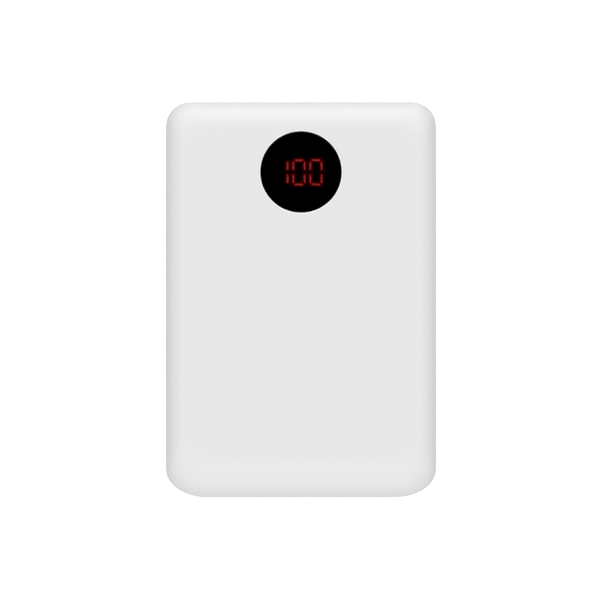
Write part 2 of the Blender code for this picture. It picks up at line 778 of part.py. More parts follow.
def small_input_outline(by=0.0):
    """The small input's outline: a bar whose two lower corners are cut off."""
    width, height = grown(SMALL_INPUT_SIZE, by)
    cut_off = SMALL_INPUT_CHAMFER
    bottom = INPUT_BOTTOM - by
    left = SMALL_INPUT_X - width / 2
    right = SMALL_INPUT_X + width / 2
    return [
        (left + cut_off, bottom),
        (right - cut_off, bottom),
        (right, bottom + cut_off),
        (right, bottom + height),
        (left, bottom + height),
        (left, bottom + cut_off),
    ]


def make_output(side, across):
    """One of the two large output sockets: its shell, its tongue and its four contacts."""
    back = SOCKET_FRONT - OUTPUT_DEPTH
    low = MIDDLE - OUTPUT_SIZE[1] / 2
    high = MIDDLE + OUTPUT_SIZE[1] / 2
    case = prism(
        f"{side}_output_shell",
        rounded(OUTPUT_SIZE, 0.45 * MM, (across, MIDDLE), 2),
        "XZ",
        back,
        SOCKET_FRONT,
        "socket_steel",
    )
    cut(
        case,
        prism(
            f"{side}_output_cavity",
            rounded(grown(OUTPUT_SIZE, -SHEET), 0.25 * MM, (across, MIDDLE), 2),
            "XZ",
            back - 1 * MM,
            SOCKET_FRONT + 1 * MM,
        ),
    )
    half = OUTPUT_SIZE[0] / 2 - SHEET - CLEAR
    body_front = back + OUTPUT_BODY
    tongue_top = high - SHEET - OUTPUT_TONGUE_DROP
    tongue_bottom = tongue_top - OUTPUT_TONGUE[1]
    tongue = block(
        f"{side}_output_tongue",
        (across - half, back + TONGUE_BACK, low + SHEET + CLEAR),
        (across + half, body_front, high - SHEET - CLEAR),
        "black_plastic",
    )
    join(
        tongue,
        block(
            f"{side}_output_blade",
            (across - OUTPUT_TONGUE[0] / 2, body_front - 1 * MM, tongue_bottom),
            (across + OUTPUT_TONGUE[0] / 2, OUTPUT_TONGUE_FRONT, tongue_top),
        ),
    )
    for number, offset in enumerate(CONTACT_X, 1):
        x = across + offset
        strip(
            f"{side}_output_contact_{number}",
            [
                (body_front + 0.1 * MM, tongue_bottom - 0.2 * MM),
                (OUTPUT_TONGUE_FRONT - 2.4 * MM, tongue_bottom - 0.5 * MM),
                (OUTPUT_TONGUE_FRONT - 1.2 * MM, tongue_bottom - 0.2 * MM),
            ],
            CONTACT_THICKNESS,
            x - CONTACT_WIDTH / 2,
            x + CONTACT_WIDTH / 2,
            "contact_gold",
        )


def make_round_input():
    """The input socket with round ends, which takes a plug either way up."""
    centre = (ROUND_INPUT_X, INPUT_BOTTOM + ROUND_INPUT_SIZE[1] / 2)
    back = SOCKET_FRONT - ROUND_INPUT_DEPTH
    inner = grown(ROUND_INPUT_SIZE, -SHEET)
    case = prism(
        "round_input_shell", stadium(ROUND_INPUT_SIZE, centre), "XZ", back, SOCKET_FRONT, "socket_steel"
    )
    cut(
        case,
        prism("round_input_cavity", stadium(inner, centre), "XZ", back - 1 * MM, SOCKET_FRONT + 1 * MM),
    )
    tongue = prism(
        "round_input_tongue",
        stadium(grown(inner, -CLEAR), centre),
        "XZ",
        back + TONGUE_BACK,
        back + INPUT_BODY,
        "black_plastic",
    )
    join(
        tongue,
        prism(
            "round_input_blade",
            rounded(ROUND_INPUT_TONGUE, 0.2 * MM, centre, 2),
            "XZ",
            back + INPUT_BODY / 2,
            ROUND_INPUT_TONGUE_FRONT,
        ),
    )


def make_small_input():
    """The small input socket, with its two lower corners cut off."""
    back = SOCKET_FRONT - SMALL_INPUT_DEPTH
    case = prism(
        "small_input_shell", small_input_outline(), "XZ", back, SOCKET_FRONT, "socket_steel"
    )
    cut(
        case,
        prism(
            "small_input_cavity", small_input_outline(-SHEET), "XZ", back - 1 * MM, SOCKET_FRONT + 1 * MM
        ),
    )
    tongue = prism(
        "small_input_tongue",
        small_input_outline(-SHEET - CLEAR),
        "XZ",
        back + TONGUE_BACK,
        back + INPUT_BODY,
        "black_plastic",
    )
    width, height = SMALL_INPUT_TONGUE
    top = INPUT_BOTTOM + SMALL_INPUT_SIZE[1] - SHEET - SMALL_INPUT_TONGUE_DROP
    join(
        tongue,
        block(
            "small_input_blade",
            (SMALL_INPUT_X - width / 2, back + INPUT_BODY / 2, top - height),
            (SMALL_INPUT_X + width / 2, SMALL_INPUT_TONGUE_FRONT, top),
        ),
    )


def make_board():
    """The circuit board and the two screws that hold it."""
    middle_y = (BOARD_BACK + BOARD_FRONT) / 2
    board = prism(
        "main_board",
        rounded((BOARD_WIDTH, BOARD_FRONT - BOARD_BACK), 2.4 * MM, (0, middle_y)),
        "XY",
        BOARD_TOP - BOARD_THICKNESS,
        BOARD_TOP,
        "board_green",
    )
    for name, (across, along) in SCREWS.items():
        cut(
            board,
            disc(f"screw_hole_{name}", SCREW_HOLE, (across, along), "Z", 0, THICKNESS, steps=20),
        )
        screw = turned(
            f"board_screw_{name}",
            [
                (0, PILOT_BOTTOM + 0.2 * MM),
                (THREAD_RADIUS, PILOT_BOTTOM + 0.8 * MM),
                (THREAD_RADIUS, BOARD_TOP - BOARD_THICKNESS - 0.2 * MM),
                (SCREW_SHANK, BOARD_TOP - BOARD_THICKNESS),
                (SCREW_SHANK, PART_BOTTOM),
                (SCREW_HEAD, PART_BOTTOM),
                (SCREW_HEAD, PART_BOTTOM + HEAD_HEIGHT / 2),
                (SCREW_HEAD - 0.5 * MM, PART_BOTTOM + HEAD_HEIGHT),
                (0, PART_BOTTOM + HEAD_HEIGHT),
            ],
            (across, along),
            "nickel",
            steps=20,
        )
        slot = (SLOT_REACH, SLOT_HALF_WIDTH)
        for number, (half_x, half_y) in enumerate((slot, slot[::-1]), 1):
            cut(
                screw,
                block(
                    f"slot_{name}_{number}",
                    (across - half_x, along - half_y, PART_BOTTOM + HEAD_HEIGHT / 2),
                    (across + half_x, along + half_y, PART_BOTTOM + 2 * HEAD_HEIGHT),
                ),
            )


def make_board_parts():
    """The inductors, chips and capacitors on the board."""
    for name, ((across, along), (size_x, size_y), height, finish, edge) in BOARD_PARTS.items():
        block(
            name,
            (across - size_x / 2, along - size_y / 2, PART_BOTTOM),
            (across + size_x / 2, along + size_y / 2, PART_BOTTOM + height),
            finish,
            edge,
        )
    for number, across in enumerate(CAPACITOR_X, 1):
        turned(
            f"output_capacitor_{number}",
            [
                (0, PART_BOTTOM),
                (CAPACITOR_RADIUS, PART_BOTTOM),
                (CAPACITOR_RADIUS, PART_BOTTOM + 0.9 * MM),
                (CAPACITOR_RADIUS - 0.15 * MM, PART_BOTTOM + 1.1 * MM),
                (CAPACITOR_RADIUS, PART_BOTTOM + 1.4 * MM),
                (CAPACITOR_RADIUS, PART_BOTTOM + CAPACITOR_HEIGHT - 0.3 * MM),
                (CAPACITOR_RADIUS - 0.2 * MM, PART_BOTTOM + CAPACITOR_HEIGHT),
                (0, PART_BOTTOM + CAPACITOR_HEIGHT),
            ],
            (across, CAPACITOR_Y),
            "can_aluminium",
            steps=20,
        )


def make_button():
    """The button and the switch behind it. Both moving pieces have their origin on the line of travel."""
    axis_place = (BUTTON_Y, MIDDLE)
    inner_wall = HALF_X - WALL
    button = prism(
        "power_button",
        stadium(BUTTON_SIZE, axis_place, 8),
        "YZ",
        inner_wall - 0.8 * MM,
        BUTTON_FACE,
        "white_gloss",
    )
    join(
        button,
        prism(
            "button_flange",
            rounded(BUTTON_FLANGE, 1.5 * MM, axis_place),
            "YZ",
            inner_wall - 1.2 * MM,
            inner_wall - 0.3 * MM,
        ),
        disc("button_boss", 1.4 * MM, axis_place, "X", inner_wall - 1.8 * MM, inner_wall - 1 * MM, steps=20),
    )
    button.data.transform(button.matrix_basis)
    button.data.transform(Matrix.Translation((-BUTTON_FACE, -BUTTON_Y, -MIDDLE)))
    button.rotation_euler = (0, 0, 0)
    button.location = (BUTTON_FACE, BUTTON_Y, MIDDLE)

    half_y = SWITCH_SIZE[0] / 2
    base = block(
        "switch_base",
        (SWITCH_BACK, BUTTON_Y - half_y, PART_BOTTOM),
        (SWITCH_FRONT, BUTTON_Y + half_y, PART_BOTTOM + SWITCH_SIZE[1]),
        "black_plastic",
        0.2 * MM,
    )
    cut(base, disc("switch_well", WELL_RADIUS, axis_place, "X", WELL_BOTTOM, SWITCH_FRONT + 1 * MM))
    frame_back = SWITCH_FRONT + CLEAR
    frame_front = frame_back + SHEET
    frame = block(
        "switch_frame",
        (frame_back, BUTTON_Y - half_y, PART_BOTTOM),
        (frame_front, BUTTON_Y + half_y, PART_BOTTOM + SWITCH_SIZE[1]),
        "socket_steel",
    )
    hole_radius = PLUNGER_RADIUS + 2 * CLEAR
    cut(frame, disc("frame_hole", hole_radius, axis_place, "X", SWITCH_FRONT, frame_front + 1 * MM))
    dome = disc("switch_dome", DOME_RADIUS, axis_place, "X", DOME_FOOT, DOME_SHOULDER, "nickel", 24)
    join(dome, disc("dome_crown", DOME_CROWN_RADIUS, axis_place, "X", DOME_FOOT + CLEAR, DOME_TOP, steps=24))
    plunger_end = inner_wall - 2.0 * MM
    plunger = disc(
        "switch_plunger", PLUNGER_RADIUS, axis_place, "X", PLUNGER_FOOT + 1 * MM, plunger_end, "black_plastic"
    )
    collar_end = SWITCH_FRONT - CLEAR
    join(plunger, disc("plunger_collar", DOME_RADIUS, axis_place, "X", PLUNGER_FOOT, collar_end))


def make_cells():
    """Two flat cells with their tabs, and the tape, pads and insulation round them."""
    bottoms = {"rear": REAR_CELL_BOTTOM, "front": FRONT_CELL_BOTTOM}
    for name, bottom in bottoms.items():
        top = bottom + CELL_THICKNESS
        middle = (bottom + top) / 2
        cell = prism(
            f"{name}_cell",
            rounded(
                (2 * CELL_HALF_WIDTH, CELL_NEAR - CELL_FAR), 3.0 * MM, (0, (CELL_NEAR + CELL_FAR) / 2), 3
            ),
            "XY",
            bottom,
            top,
            "cell_foil",
        )
        bevel = cell.modifiers.new("edges", "BEVEL")
        bevel.width = CELL_EDGE
        bevel.segments = 2
        bevel.limit_method = "ANGLE"
        bevel.angle_limit = pi / 3
        join(
            cell,
            block(
                f"{name}_terrace",
                (-CELL_HALF_WIDTH + 2 * MM, CELL_NEAR - 2 * MM, middle - 0.5 * MM),
                (CELL_HALF_WIDTH - 2 * MM, TERRACE_NEAR, middle + 0.5 * MM),
            ),
        )
    rear_middle = REAR_CELL_BOTTOM + CELL_THICKNESS / 2
    front_middle = FRONT_CELL_BOTTOM + CELL_THICKNESS / 2
    paths = {
        "rear": [(TERRACE_NEAR + CLEAR, rear_middle), (27.0 * MM, rear_middle)],
        "front": [
            (TERRACE_NEAR + CLEAR, front_middle),
            (22.9 * MM, front_middle),
            (23.2 * MM, front_middle - 0.4 * MM),
            (23.2 * MM, PART_BOTTOM + 0.7 * MM),
            (23.7 * MM, PART_BOTTOM + 0.2 * MM),
            (26.2 * MM, PART_BOTTOM + 0.2 * MM),
        ],
    }
    for name, path in paths.items():
        for pole, across in (("negative", -TAB_X), ("positive", TAB_X)):
            strip(
                f"{name}_cell_{pole}_tab",
                path,
                TAB_THICKNESS,
                across - TAB_WIDTH / 2,
                across + TAB_WIDTH / 2,
                "nickel",
            )
    layers = (
        ("foam_pad_rear", WALL, REAR_CELL_BOTTOM, "grey_foam"),
        ("cell_tape", REAR_CELL_BOTTOM + CELL_THICKNESS, FRONT_CELL_BOTTOM, "clear_tape"),
        ("foam_pad_front", FRONT_CELL_BOTTOM + CELL_THICKNESS, THICKNESS - WALL, "grey_foam"),
    )
    for name, bottom, top, finish in layers:
        block(name, (*PAD_LOW, bottom + CLEAR), (*PAD_HIGH, top - CLEAR), finish)
    block("insulation_sheet", *INSULATION, "fish_paper")


cover_cuts = cover_openings()
make_front_cover(cover_cuts)
make_rear_cover(cover_cuts)
make_display()
make_port_plate()
make_output("left", -OUTPUT_X)
make_output("right", OUTPUT_X)
make_round_input()
make_small_input()
make_board()
make_board_parts()
make_button()
make_cells()
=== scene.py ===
"""The looks of a pocket power bank: fine casing, display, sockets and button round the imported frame.

The bank lies on its back on a pale studio floor, and the camera looks straight down on its front.
Every new piece is shaped with Blender's operators, takes its place from the frame's own boxes and
rides on the body that its solid belongs to. Sizes are in metres.
"""

from __future__ import annotations

import json
import logging
import math
from collections.abc import Callable, Sequence
from dataclasses import dataclass
from enum import Enum
from typing import Any

import bmesh
import bpy
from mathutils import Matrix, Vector

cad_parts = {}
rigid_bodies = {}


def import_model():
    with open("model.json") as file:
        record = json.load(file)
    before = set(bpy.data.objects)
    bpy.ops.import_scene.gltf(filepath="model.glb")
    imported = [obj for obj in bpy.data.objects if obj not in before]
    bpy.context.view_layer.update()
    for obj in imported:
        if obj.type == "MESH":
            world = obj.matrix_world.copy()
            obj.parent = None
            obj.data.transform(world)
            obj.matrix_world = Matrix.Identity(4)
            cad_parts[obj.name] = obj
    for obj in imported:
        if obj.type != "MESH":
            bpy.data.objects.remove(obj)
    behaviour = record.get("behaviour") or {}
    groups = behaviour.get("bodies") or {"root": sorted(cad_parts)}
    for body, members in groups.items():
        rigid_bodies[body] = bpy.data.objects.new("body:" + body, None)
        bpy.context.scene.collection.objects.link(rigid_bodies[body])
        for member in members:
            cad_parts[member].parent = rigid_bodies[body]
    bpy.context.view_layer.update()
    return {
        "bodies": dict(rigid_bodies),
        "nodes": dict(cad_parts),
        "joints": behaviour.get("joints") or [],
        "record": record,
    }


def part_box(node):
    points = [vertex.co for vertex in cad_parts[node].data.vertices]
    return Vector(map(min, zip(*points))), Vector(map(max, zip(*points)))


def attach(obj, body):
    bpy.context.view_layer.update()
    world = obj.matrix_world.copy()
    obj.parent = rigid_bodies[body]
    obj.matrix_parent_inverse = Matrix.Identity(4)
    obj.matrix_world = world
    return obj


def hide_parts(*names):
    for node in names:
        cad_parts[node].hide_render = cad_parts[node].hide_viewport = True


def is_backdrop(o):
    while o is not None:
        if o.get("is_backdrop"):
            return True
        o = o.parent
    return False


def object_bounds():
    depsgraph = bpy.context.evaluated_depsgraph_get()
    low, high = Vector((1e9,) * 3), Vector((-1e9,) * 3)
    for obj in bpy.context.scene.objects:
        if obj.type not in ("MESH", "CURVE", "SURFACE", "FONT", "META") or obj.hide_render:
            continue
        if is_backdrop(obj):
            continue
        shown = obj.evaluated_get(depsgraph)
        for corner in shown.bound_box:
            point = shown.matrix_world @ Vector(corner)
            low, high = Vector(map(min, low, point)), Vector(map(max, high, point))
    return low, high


MM = 0.001
CASING_BODY = "casing"
BUTTON_BODY = "button"
BEYOND = 1.0 * MM
MERGE = 0.002 * MM
SMALLEST = 1e-6
QUARTER = math.pi / 2
NEARLY_HALF = 0.499
FINE_STEPS = 192
SPILL = "spill"

LOG = logging.getLogger("power_bank")

Colour = tuple[float, float, float]
Triple = tuple[float, float, float]
Pair = tuple[float, float]
Profile = tuple[float, float, float, float]


# --- Shaping meshes ---


class Axis(Enum):
    """The axis that an outline is swept along, then the two axes of the outline's own plane."""

    X = (0, 1, 2)
    Y = (1, 0, 2)
    Z = (2, 0, 1)

    @property
    def along(self) -> int:
        """The index of the sweep's axis."""
        return self.value[0]

    @property
    def plane(self) -> tuple[int, int]:
        """The indices of the outline's two axes."""
        return self.value[1], self.value[2]

    @property
    def turn(self) -> Triple:
        """The rotation that lays a horizontal primitive in the outline's plane."""
        turns = {"X": (QUARTER, 0.0, QUARTER), "Y": (QUARTER, 0.0, 0.0), "Z": (0.0, 0.0, 0.0)}
        return turns[self.name]


@dataclass(frozen=True)
class Ring:
    """One section of a sweep.

    Attributes:
        inset_u: How far the section lies inside the outline along the plane's first axis.
        inset_v: The same along the plane's second axis.
        level: Its place along the sweep's axis.
        shift_v: How far its middle lies from the outline's along the plane's second axis.
    """

    inset_u: float
    inset_v: float
    level: float
    shift_v: float = 0.0


def even(inset: float, level: float) -> Ring:
    """A ring whose two insets are the same."""
    return Ring(inset, inset, level)


def evens(*sections: Pair) -> list[Ring]:
    """Rings whose two insets are the same, each from its inset and its level."""
    return [even(inset, level) for inset, level in sections]


def softened(inset: float, level: float, radius: float, facing: int, steps: int = 4) -> list[Ring]:
    """Rings that round a sweep's end over.

    Args:
        inset: The inset of the side that is rounded.
        level: The end's level.
        radius: The rounding's radius.
        facing: 1 where the end is above the side, -1 where it is below.
        steps: How many faces the rounding has.

    Returns:
        The rings, from the side to the end.
    """
    rings = []
    for step in range(steps + 1):
        angle = step / steps * math.pi / 2
        across = inset + radius * (1 - math.cos(angle))
        rings.append(even(across, level - facing * radius * (1 - math.sin(angle))))
    return rings


def flared(start: float, surface: float, flare: float) -> list[Ring]:
    """Rings for an opening that widens where it meets a surface, and go on past it.

    Args:
        start: The opening's inner level.
        surface: The surface's level.
        flare: How much it widens, and over what depth.

    Returns:
        The rings, from the inside out.
    """
    past = surface + BEYOND
    return evens((0.0, start), (0.0, surface - flare), (-flare, surface), (-flare, past))


class Workpiece:
    """A mesh object while it is shaped with operators. Its object stays at the origin, unturned."""

    def __init__(self, obj: bpy.types.Object) -> None:
        """Wraps an object.

        Args:
            obj: The mesh object.
        """
        self.obj = obj

    @staticmethod
    def clear() -> None:
        """Leaves edit mode and deselects everything."""
        if bpy.context.mode != "OBJECT":
            bpy.ops.object.mode_set(mode="OBJECT")
        bpy.ops.object.select_all(action="DESELECT")

    @classmethod
    def adopt(cls, name: str) -> Workpiece:
        """Names the primitive that was just added and applies its place to its mesh.

        Args:
            name: The new object's name.

        Returns:
            The workpiece.
        """
        obj = bpy.context.active_object
        obj.name = name
        obj.data.name = name
        bpy.ops.object.transform_apply(location=True, rotation=True, scale=True)
        return cls(obj)

    @classmethod
    def rectangle(cls, name: str, axis: Axis, size: Pair, centre: Triple) -> Workpiece:
        """A flat rectangle across an axis, left in edit mode.

        Args:
            name: The object's name.
            axis: The axis that it is at right angles to.
            size: Its two sides, along the plane's axes.
            centre: Its middle.

        Returns:
            The workpiece.
        """
        cls.clear()
        bpy.ops.mesh.primitive_plane_add(size=1.0, location=centre, rotation=axis.turn)
        piece = cls.adopt(name)
        factors = [1.0, 1.0, 1.0]
        factors[axis.plane[0]] = size[0]
        factors[axis.plane[1]] = size[1]
        piece.edit()
        piece.resize(factors, centre)
        return piece

    @classmethod
    def circle(cls, name: str, axis: Axis, radius: float, centre: Triple, steps: int) -> Workpiece:
        """A filled circle across an axis, left in edit mode.

        Args:
            name: The object's name.
            axis: The axis that it is at right angles to.
            radius: Its radius.
            centre: Its middle.
            steps: How many sides it has.

        Returns:
            The workpiece.
        """
        cls.clear()
        bpy.ops.mesh.primitive_circle_add(
            vertices=steps, radius=radius, fill_type="NGON", location=centre, rotation=axis.turn
        )
        piece = cls.adopt(name)
        piece.edit()
        return piece

    @classmethod
    def block(
        cls, name: str, low: Sequence[float], high: Sequence[float], edge: float = 0.0
    ) -> Workpiece:
        """A box with softened edges, to be joined to or cut from something else.

        Args:
            name: The object's name.
            low: Its lowest corner.
            high: Its highest corner.
            edge: The width of the bevel on its edges.

        Returns:
            The workpiece.
        """
        cls.clear()
        low = Vector(low)
        high = Vector(high)
        centre = (low + high) / 2
        bpy.ops.mesh.primitive_cube_add(size=1.0, location=centre)
        piece = cls.adopt(name)
        piece.edit()
        piece.resize(high - low, centre)
        if edge:
            piece.bevel(edge, 2)
        return piece.close()

    @classmethod
    def merged(cls, name: str, pieces: Sequence[Workpiece]) -> Workpiece:
        """Several pieces made one object.

        Args:
            name: The object's name.
            pieces: The pieces, which are used up.

        Returns:
            The workpiece.
        """
        cls.clear()
        for piece in pieces:
            piece.obj.select_set(True)
        bpy.context.view_layer.objects.active = pieces[0].obj
        bpy.ops.object.join()
        return cls.adopt(name)

    def copy(self, name: str, offset: Sequence[float]) -> Workpiece:
        """A copy with its own mesh, moved by an offset.

        Args:
            name: The copy's name.
            offset: How far it moves.

        Returns:
            The copy.
        """
        self.done()
        bpy.ops.object.duplicate(linked=False)
        twin = Workpiece.adopt(name)
        twin.edit()
        twin.move(offset)
        twin.done()
        return twin

    def edit(self) -> None:
        """Enters edit mode with everything selected."""
        self.clear()
        bpy.context.view_layer.objects.active = self.obj
        self.obj.select_set(True)
        bpy.ops.object.mode_set(mode="EDIT")
        bpy.ops.mesh.select_all(action="SELECT")

    def done(self) -> None:
        """Returns to object mode with only this piece selected."""
        self.clear()
        bpy.context.view_layer.objects.active = self.obj
        self.obj.select_set(True)

    def pick_vertices(self, wanted: Callable[[Vector], bool]) -> None:
        """Selects vertices by their place.

        Args:
            wanted: Says whether a place is wanted.
        """
        bpy.ops.mesh.select_mode(type="VERT")
        bpy.ops.mesh.select_all(action="DESELECT")
        mesh = bmesh.from_edit_mesh(self.obj.data)
        for vertex in mesh.verts:
            vertex.select_set(wanted(vertex.co))
        mesh.select_flush_mode()
        bmesh.update_edit_mesh(self.obj.data)

    def resize(self, factors: Sequence[float], centre: Sequence[float]) -> None:
        """Scales what is selected about a point."""
        bpy.ops.transform.resize(value=tuple(factors), center_override=tuple(centre))

    def move(self, offset: Sequence[float]) -> None:
        """Moves what is selected."""
        bpy.ops.transform.translate(value=tuple(offset))

    def extrude(self, offset: Sequence[float]) -> None:
        """Extrudes what is selected and leaves the new end selected."""
        bpy.ops.mesh.extrude_region_move(TRANSFORM_OT_translate={"value": tuple(offset)})

    def bevel(self, width: float, steps: int = 1, corners: bool = False) -> None:
        """Bevels what is selected.

        Args:
            width: The bevel's width.
            steps: How many faces it has across.
            corners: True to round flat corners, and False to bevel edges.
        """
        affect = "VERTICES" if corners else "EDGES"
        bpy.ops.mesh.bevel(offset=width, offset_type="OFFSET", segments=steps, affect=affect)

    def combine(self, tool: Workpiece, operation: str) -> None:
        """Joins or cuts with another workpiece, which is then removed.

        Args:
            tool: The other workpiece.
            operation: UNION or DIFFERENCE.
        """
        self.done()
        modifier = self.obj.modifiers.new(tool.obj.name, "BOOLEAN")
        modifier.operation = operation
        modifier.object = tool.obj
        bpy.ops.object.modifier_apply(modifier=modifier.name)
        bpy.data.objects.remove(tool.obj)

    def add(self, *tools: Workpiece) -> Workpiece:
        """Joins other workpieces, which overlap this one, to it.

        Args:
            tools: The other workpieces, which are used up.

        Returns:
            This workpiece.
        """
        for tool in tools:
            self.combine(tool, "UNION")
        return self

    def cut(self, *tools: Workpiece) -> Workpiece:
        """Cuts other workpieces out of this one.

        Args:
            tools: The other workpieces, which are used up.

        Returns:
            This workpiece.
        """
        for tool in tools:
            self.combine(tool, "DIFFERENCE")
        return self

    def close(self) -> Workpiece:
        """Merges points that meet and turns every face outwards.

        Returns:
            This workpiece.
        """
        self.edit()
        bpy.ops.mesh.remove_doubles(threshold=MERGE)
        bpy.ops.mesh.normals_make_consistent(inside=False)
        self.done()
        return self

    def smooth(self, angle: float) -> None:
        """Shades the piece smooth, apart from edges sharper than an angle in degrees."""
        self.done()
        bpy.ops.object.shade_smooth_by_angle(angle=math.radians(angle))


class Sweep:
    """A flat outline that is carried through rings with extrude and resize."""

    def __init__(self, piece: Workpiece, axis: Axis, half: Pair, centre: Sequence[float]) -> None:
        """Starts from a finished outline.

        Args:
            piece: The flat outline, in edit mode.
            axis: The axis to sweep along.
            half: The outline's half sizes along its plane's axes.
            centre: The outline's middle, at the outline's level.
        """
        self.piece = piece
        self.axis = axis
        self.half = half
        self.centre = list(centre)
        self.now = even(0.0, centre[axis.along])

    def go(self, ring: Ring, extrude: bool) -> None:
        """Moves or extrudes the selected section to a ring.

        Args:
            ring: The ring.
            extrude: True to extrude, and False to move.
        """
        first, second = self.axis.plane
        offset = [0.0, 0.0, 0.0]
        offset[self.axis.along] = ring.level - self.now.level
        offset[second] = ring.shift_v - self.now.shift_v
        factors = [1.0, 1.0, 1.0]
        factors[first] = (self.half[0] - ring.inset_u) / (self.half[0] - self.now.inset_u)
        factors[second] = (self.half[1] - ring.inset_v) / (self.half[1] - self.now.inset_v)
        if extrude:
            self.piece.extrude(offset)
        else:
            self.piece.move(offset)
        self.centre[self.axis.along] = ring.level
        self.centre[second] += offset[second]
        self.piece.resize(factors, self.centre)
        self.now = ring

    def solid(self, rings: Sequence[Ring]) -> Workpiece:
        """Sweeps the filled outline through the rings. The first and the last stay filled.

        Args:
            rings: The sections, in order.

        Returns:
            The closed workpiece.
        """
        bpy.ops.mesh.select_all(action="SELECT")
        self.go(rings[0], extrude=False)
        for ring in rings[1:]:
            self.go(ring, extrude=True)
        return self.piece.close()

    def tube(self, rings: Sequence[Ring]) -> Workpiece:
        """Sweeps the outline's edge through the rings and back to the first, which makes a closed tube.

        Args:
            rings: The sections, in order, without the first again.

        Returns:
            The closed workpiece.
        """
        bpy.ops.mesh.select_all(action="SELECT")
        bpy.ops.mesh.delete(type="ONLY_FACE")
        bpy.ops.mesh.select_all(action="SELECT")
        self.go(rings[0], extrude=False)
        for ring in [*rings[1:], rings[0]]:
            self.go(ring, extrude=True)
        return self.piece.close()


def rounded(name: str, axis: Axis, size: Pair, centre: Triple, radius: float, steps: int = 6) -> Sweep:
    """A rectangle with round corners, ready to be swept.

    Args:
        name: The object's name.
        axis: The axis to sweep along.
        size: The rectangle's sides.
        centre: Its middle.
        radius: Its corners' radius. Half the short side makes a bar with round ends.
        steps: How many edges each corner has. One edge cuts the corner off.

    Returns:
        The sweep.
    """
    piece = Workpiece.rectangle(name, axis, size, centre)
    piece.bevel(min(radius, NEARLY_HALF * min(size)), steps, corners=True)
    return Sweep(piece, axis, (size[0] / 2, size[1] / 2), centre)


def pill(name: str, axis: Axis, size: Pair, centre: Triple, steps: int = 12) -> Sweep:
    """A bar with round ends, ready to be swept."""
    return rounded(name, axis, size, centre, min(size), steps)


def round_bar(name: str, axis: Axis, radius: float, centre: Triple, steps: int = 128) -> Sweep:
    """A circle, ready to be swept."""
    piece = Workpiece.circle(name, axis, radius, centre, steps)
    return Sweep(piece, axis, (radius, radius), centre)


def middle_of(low: Sequence[float], high: Sequence[float]) -> Vector:
    """The middle of a box."""
    return (Vector(low) + Vector(high)) / 2


# --- Finishes ---

FLOAT = "NodeSocketFloat"
COLOUR = "NodeSocketColor"


class NodeSheet:
    """A node tree, with short ways to add and link its nodes."""

    def __init__(self, tree: bpy.types.NodeTree) -> None:
        """Wraps a node tree.

        Args:
            tree: A material's, a group's or the world's tree.
        """
        self.tree = tree

    def feed(self, socket: bpy.types.NodeSocket, value: Any) -> None:
        """Links a socket to another, or sets it to a plain value.

        Args:
            socket: The input.
            value: A socket, or a plain value.
        """
        if isinstance(value, bpy.types.NodeSocket):
            self.tree.links.new(value, socket)
        else:
            socket.default_value = value

    def add(self, kind: str, values: dict[str | int, Any], **settings: Any) -> bpy.types.Node:
        """Adds a node.

        Args:
            kind: The node's type.
            values: What to set or link on its inputs, by name or index.
            settings: The node's own properties.

        Returns:
            The node.
        """
        node = self.tree.nodes.new(kind)
        for key, value in settings.items():
            setattr(node, key, value)
        for key, value in values.items():
            self.feed(node.inputs[key], value)
        return node

    def group(self, tree: bpy.types.NodeTree, values: dict[str | int, Any]) -> bpy.types.Node:
        """Places a shared group with its values."""
        return self.add("ShaderNodeGroup", values, node_tree=tree)

    def mix(self, share: Any, first: bpy.types.Node, second: bpy.types.Node) -> bpy.types.Node:
        """Mixes two shaders. The share is the second one's."""
        return self.add("ShaderNodeMixShader", {0: share, 1: first.outputs[0], 2: second.outputs[0]})

    def maths(self, operation: str, *values: Any) -> bpy.types.NodeSocket:
        """The result of a Math node on values or sockets."""
        return self.add("ShaderNodeMath", dict(enumerate(values)), operation=operation).outputs[0]

    def noise(self, place: bpy.types.NodeSocket, scale: Any, detail: float) -> bpy.types.NodeSocket:
        """A noise's value at a place, from 0 to 1."""
        values = {"Vector": place, "Scale": scale, "Detail": detail}
        return self.add("ShaderNodeTexNoise", values).outputs["Fac"]

    def place(self, stretch: Triple = (1.0, 1.0, 1.0)) -> bpy.types.NodeSocket:
        """The place on the piece, stretched along its axes.

        Args:
            stretch: The factors along the three axes.

        Returns:
            The place's socket.
        """
        source = self.add("ShaderNodeTexCoord", {}).outputs["Object"]
        if stretch == (1.0, 1.0, 1.0):
            return source
        return self.add("ShaderNodeMapping", {"Vector": source, "Scale": stretch}).outputs["Vector"]


class SharedGroup:
    """A shader node group with named sockets, ready to be filled."""

    def __init__(self, name: str, takes: dict[str, tuple[str, Any]], gives: dict[str, str]) -> None:
        """Makes the group's sockets.

        Args:
            name: The group's name.
            takes: Each input's name, with its socket type and first value.
            gives: Each output's name, with its socket type.
        """
        self.tree = bpy.data.node_groups.new(name, "ShaderNodeTree")
        for label, (kind, value) in takes.items():
            socket = self.tree.interface.new_socket(name=label, in_out="INPUT", socket_type=kind)
            socket.default_value = value
        for label, kind in gives.items():
            self.tree.interface.new_socket(name=label, in_out="OUTPUT", socket_type=kind)
        self.sheet = NodeSheet(self.tree)
        self.taken = self.tree.nodes.new("NodeGroupInput").outputs
        self.given = self.tree.nodes.new("NodeGroupOutput").inputs

    def give(self, label: str, value: bpy.types.NodeSocket) -> None:
        """Links an output of the group."""
        self.sheet.feed(self.given[label], value)


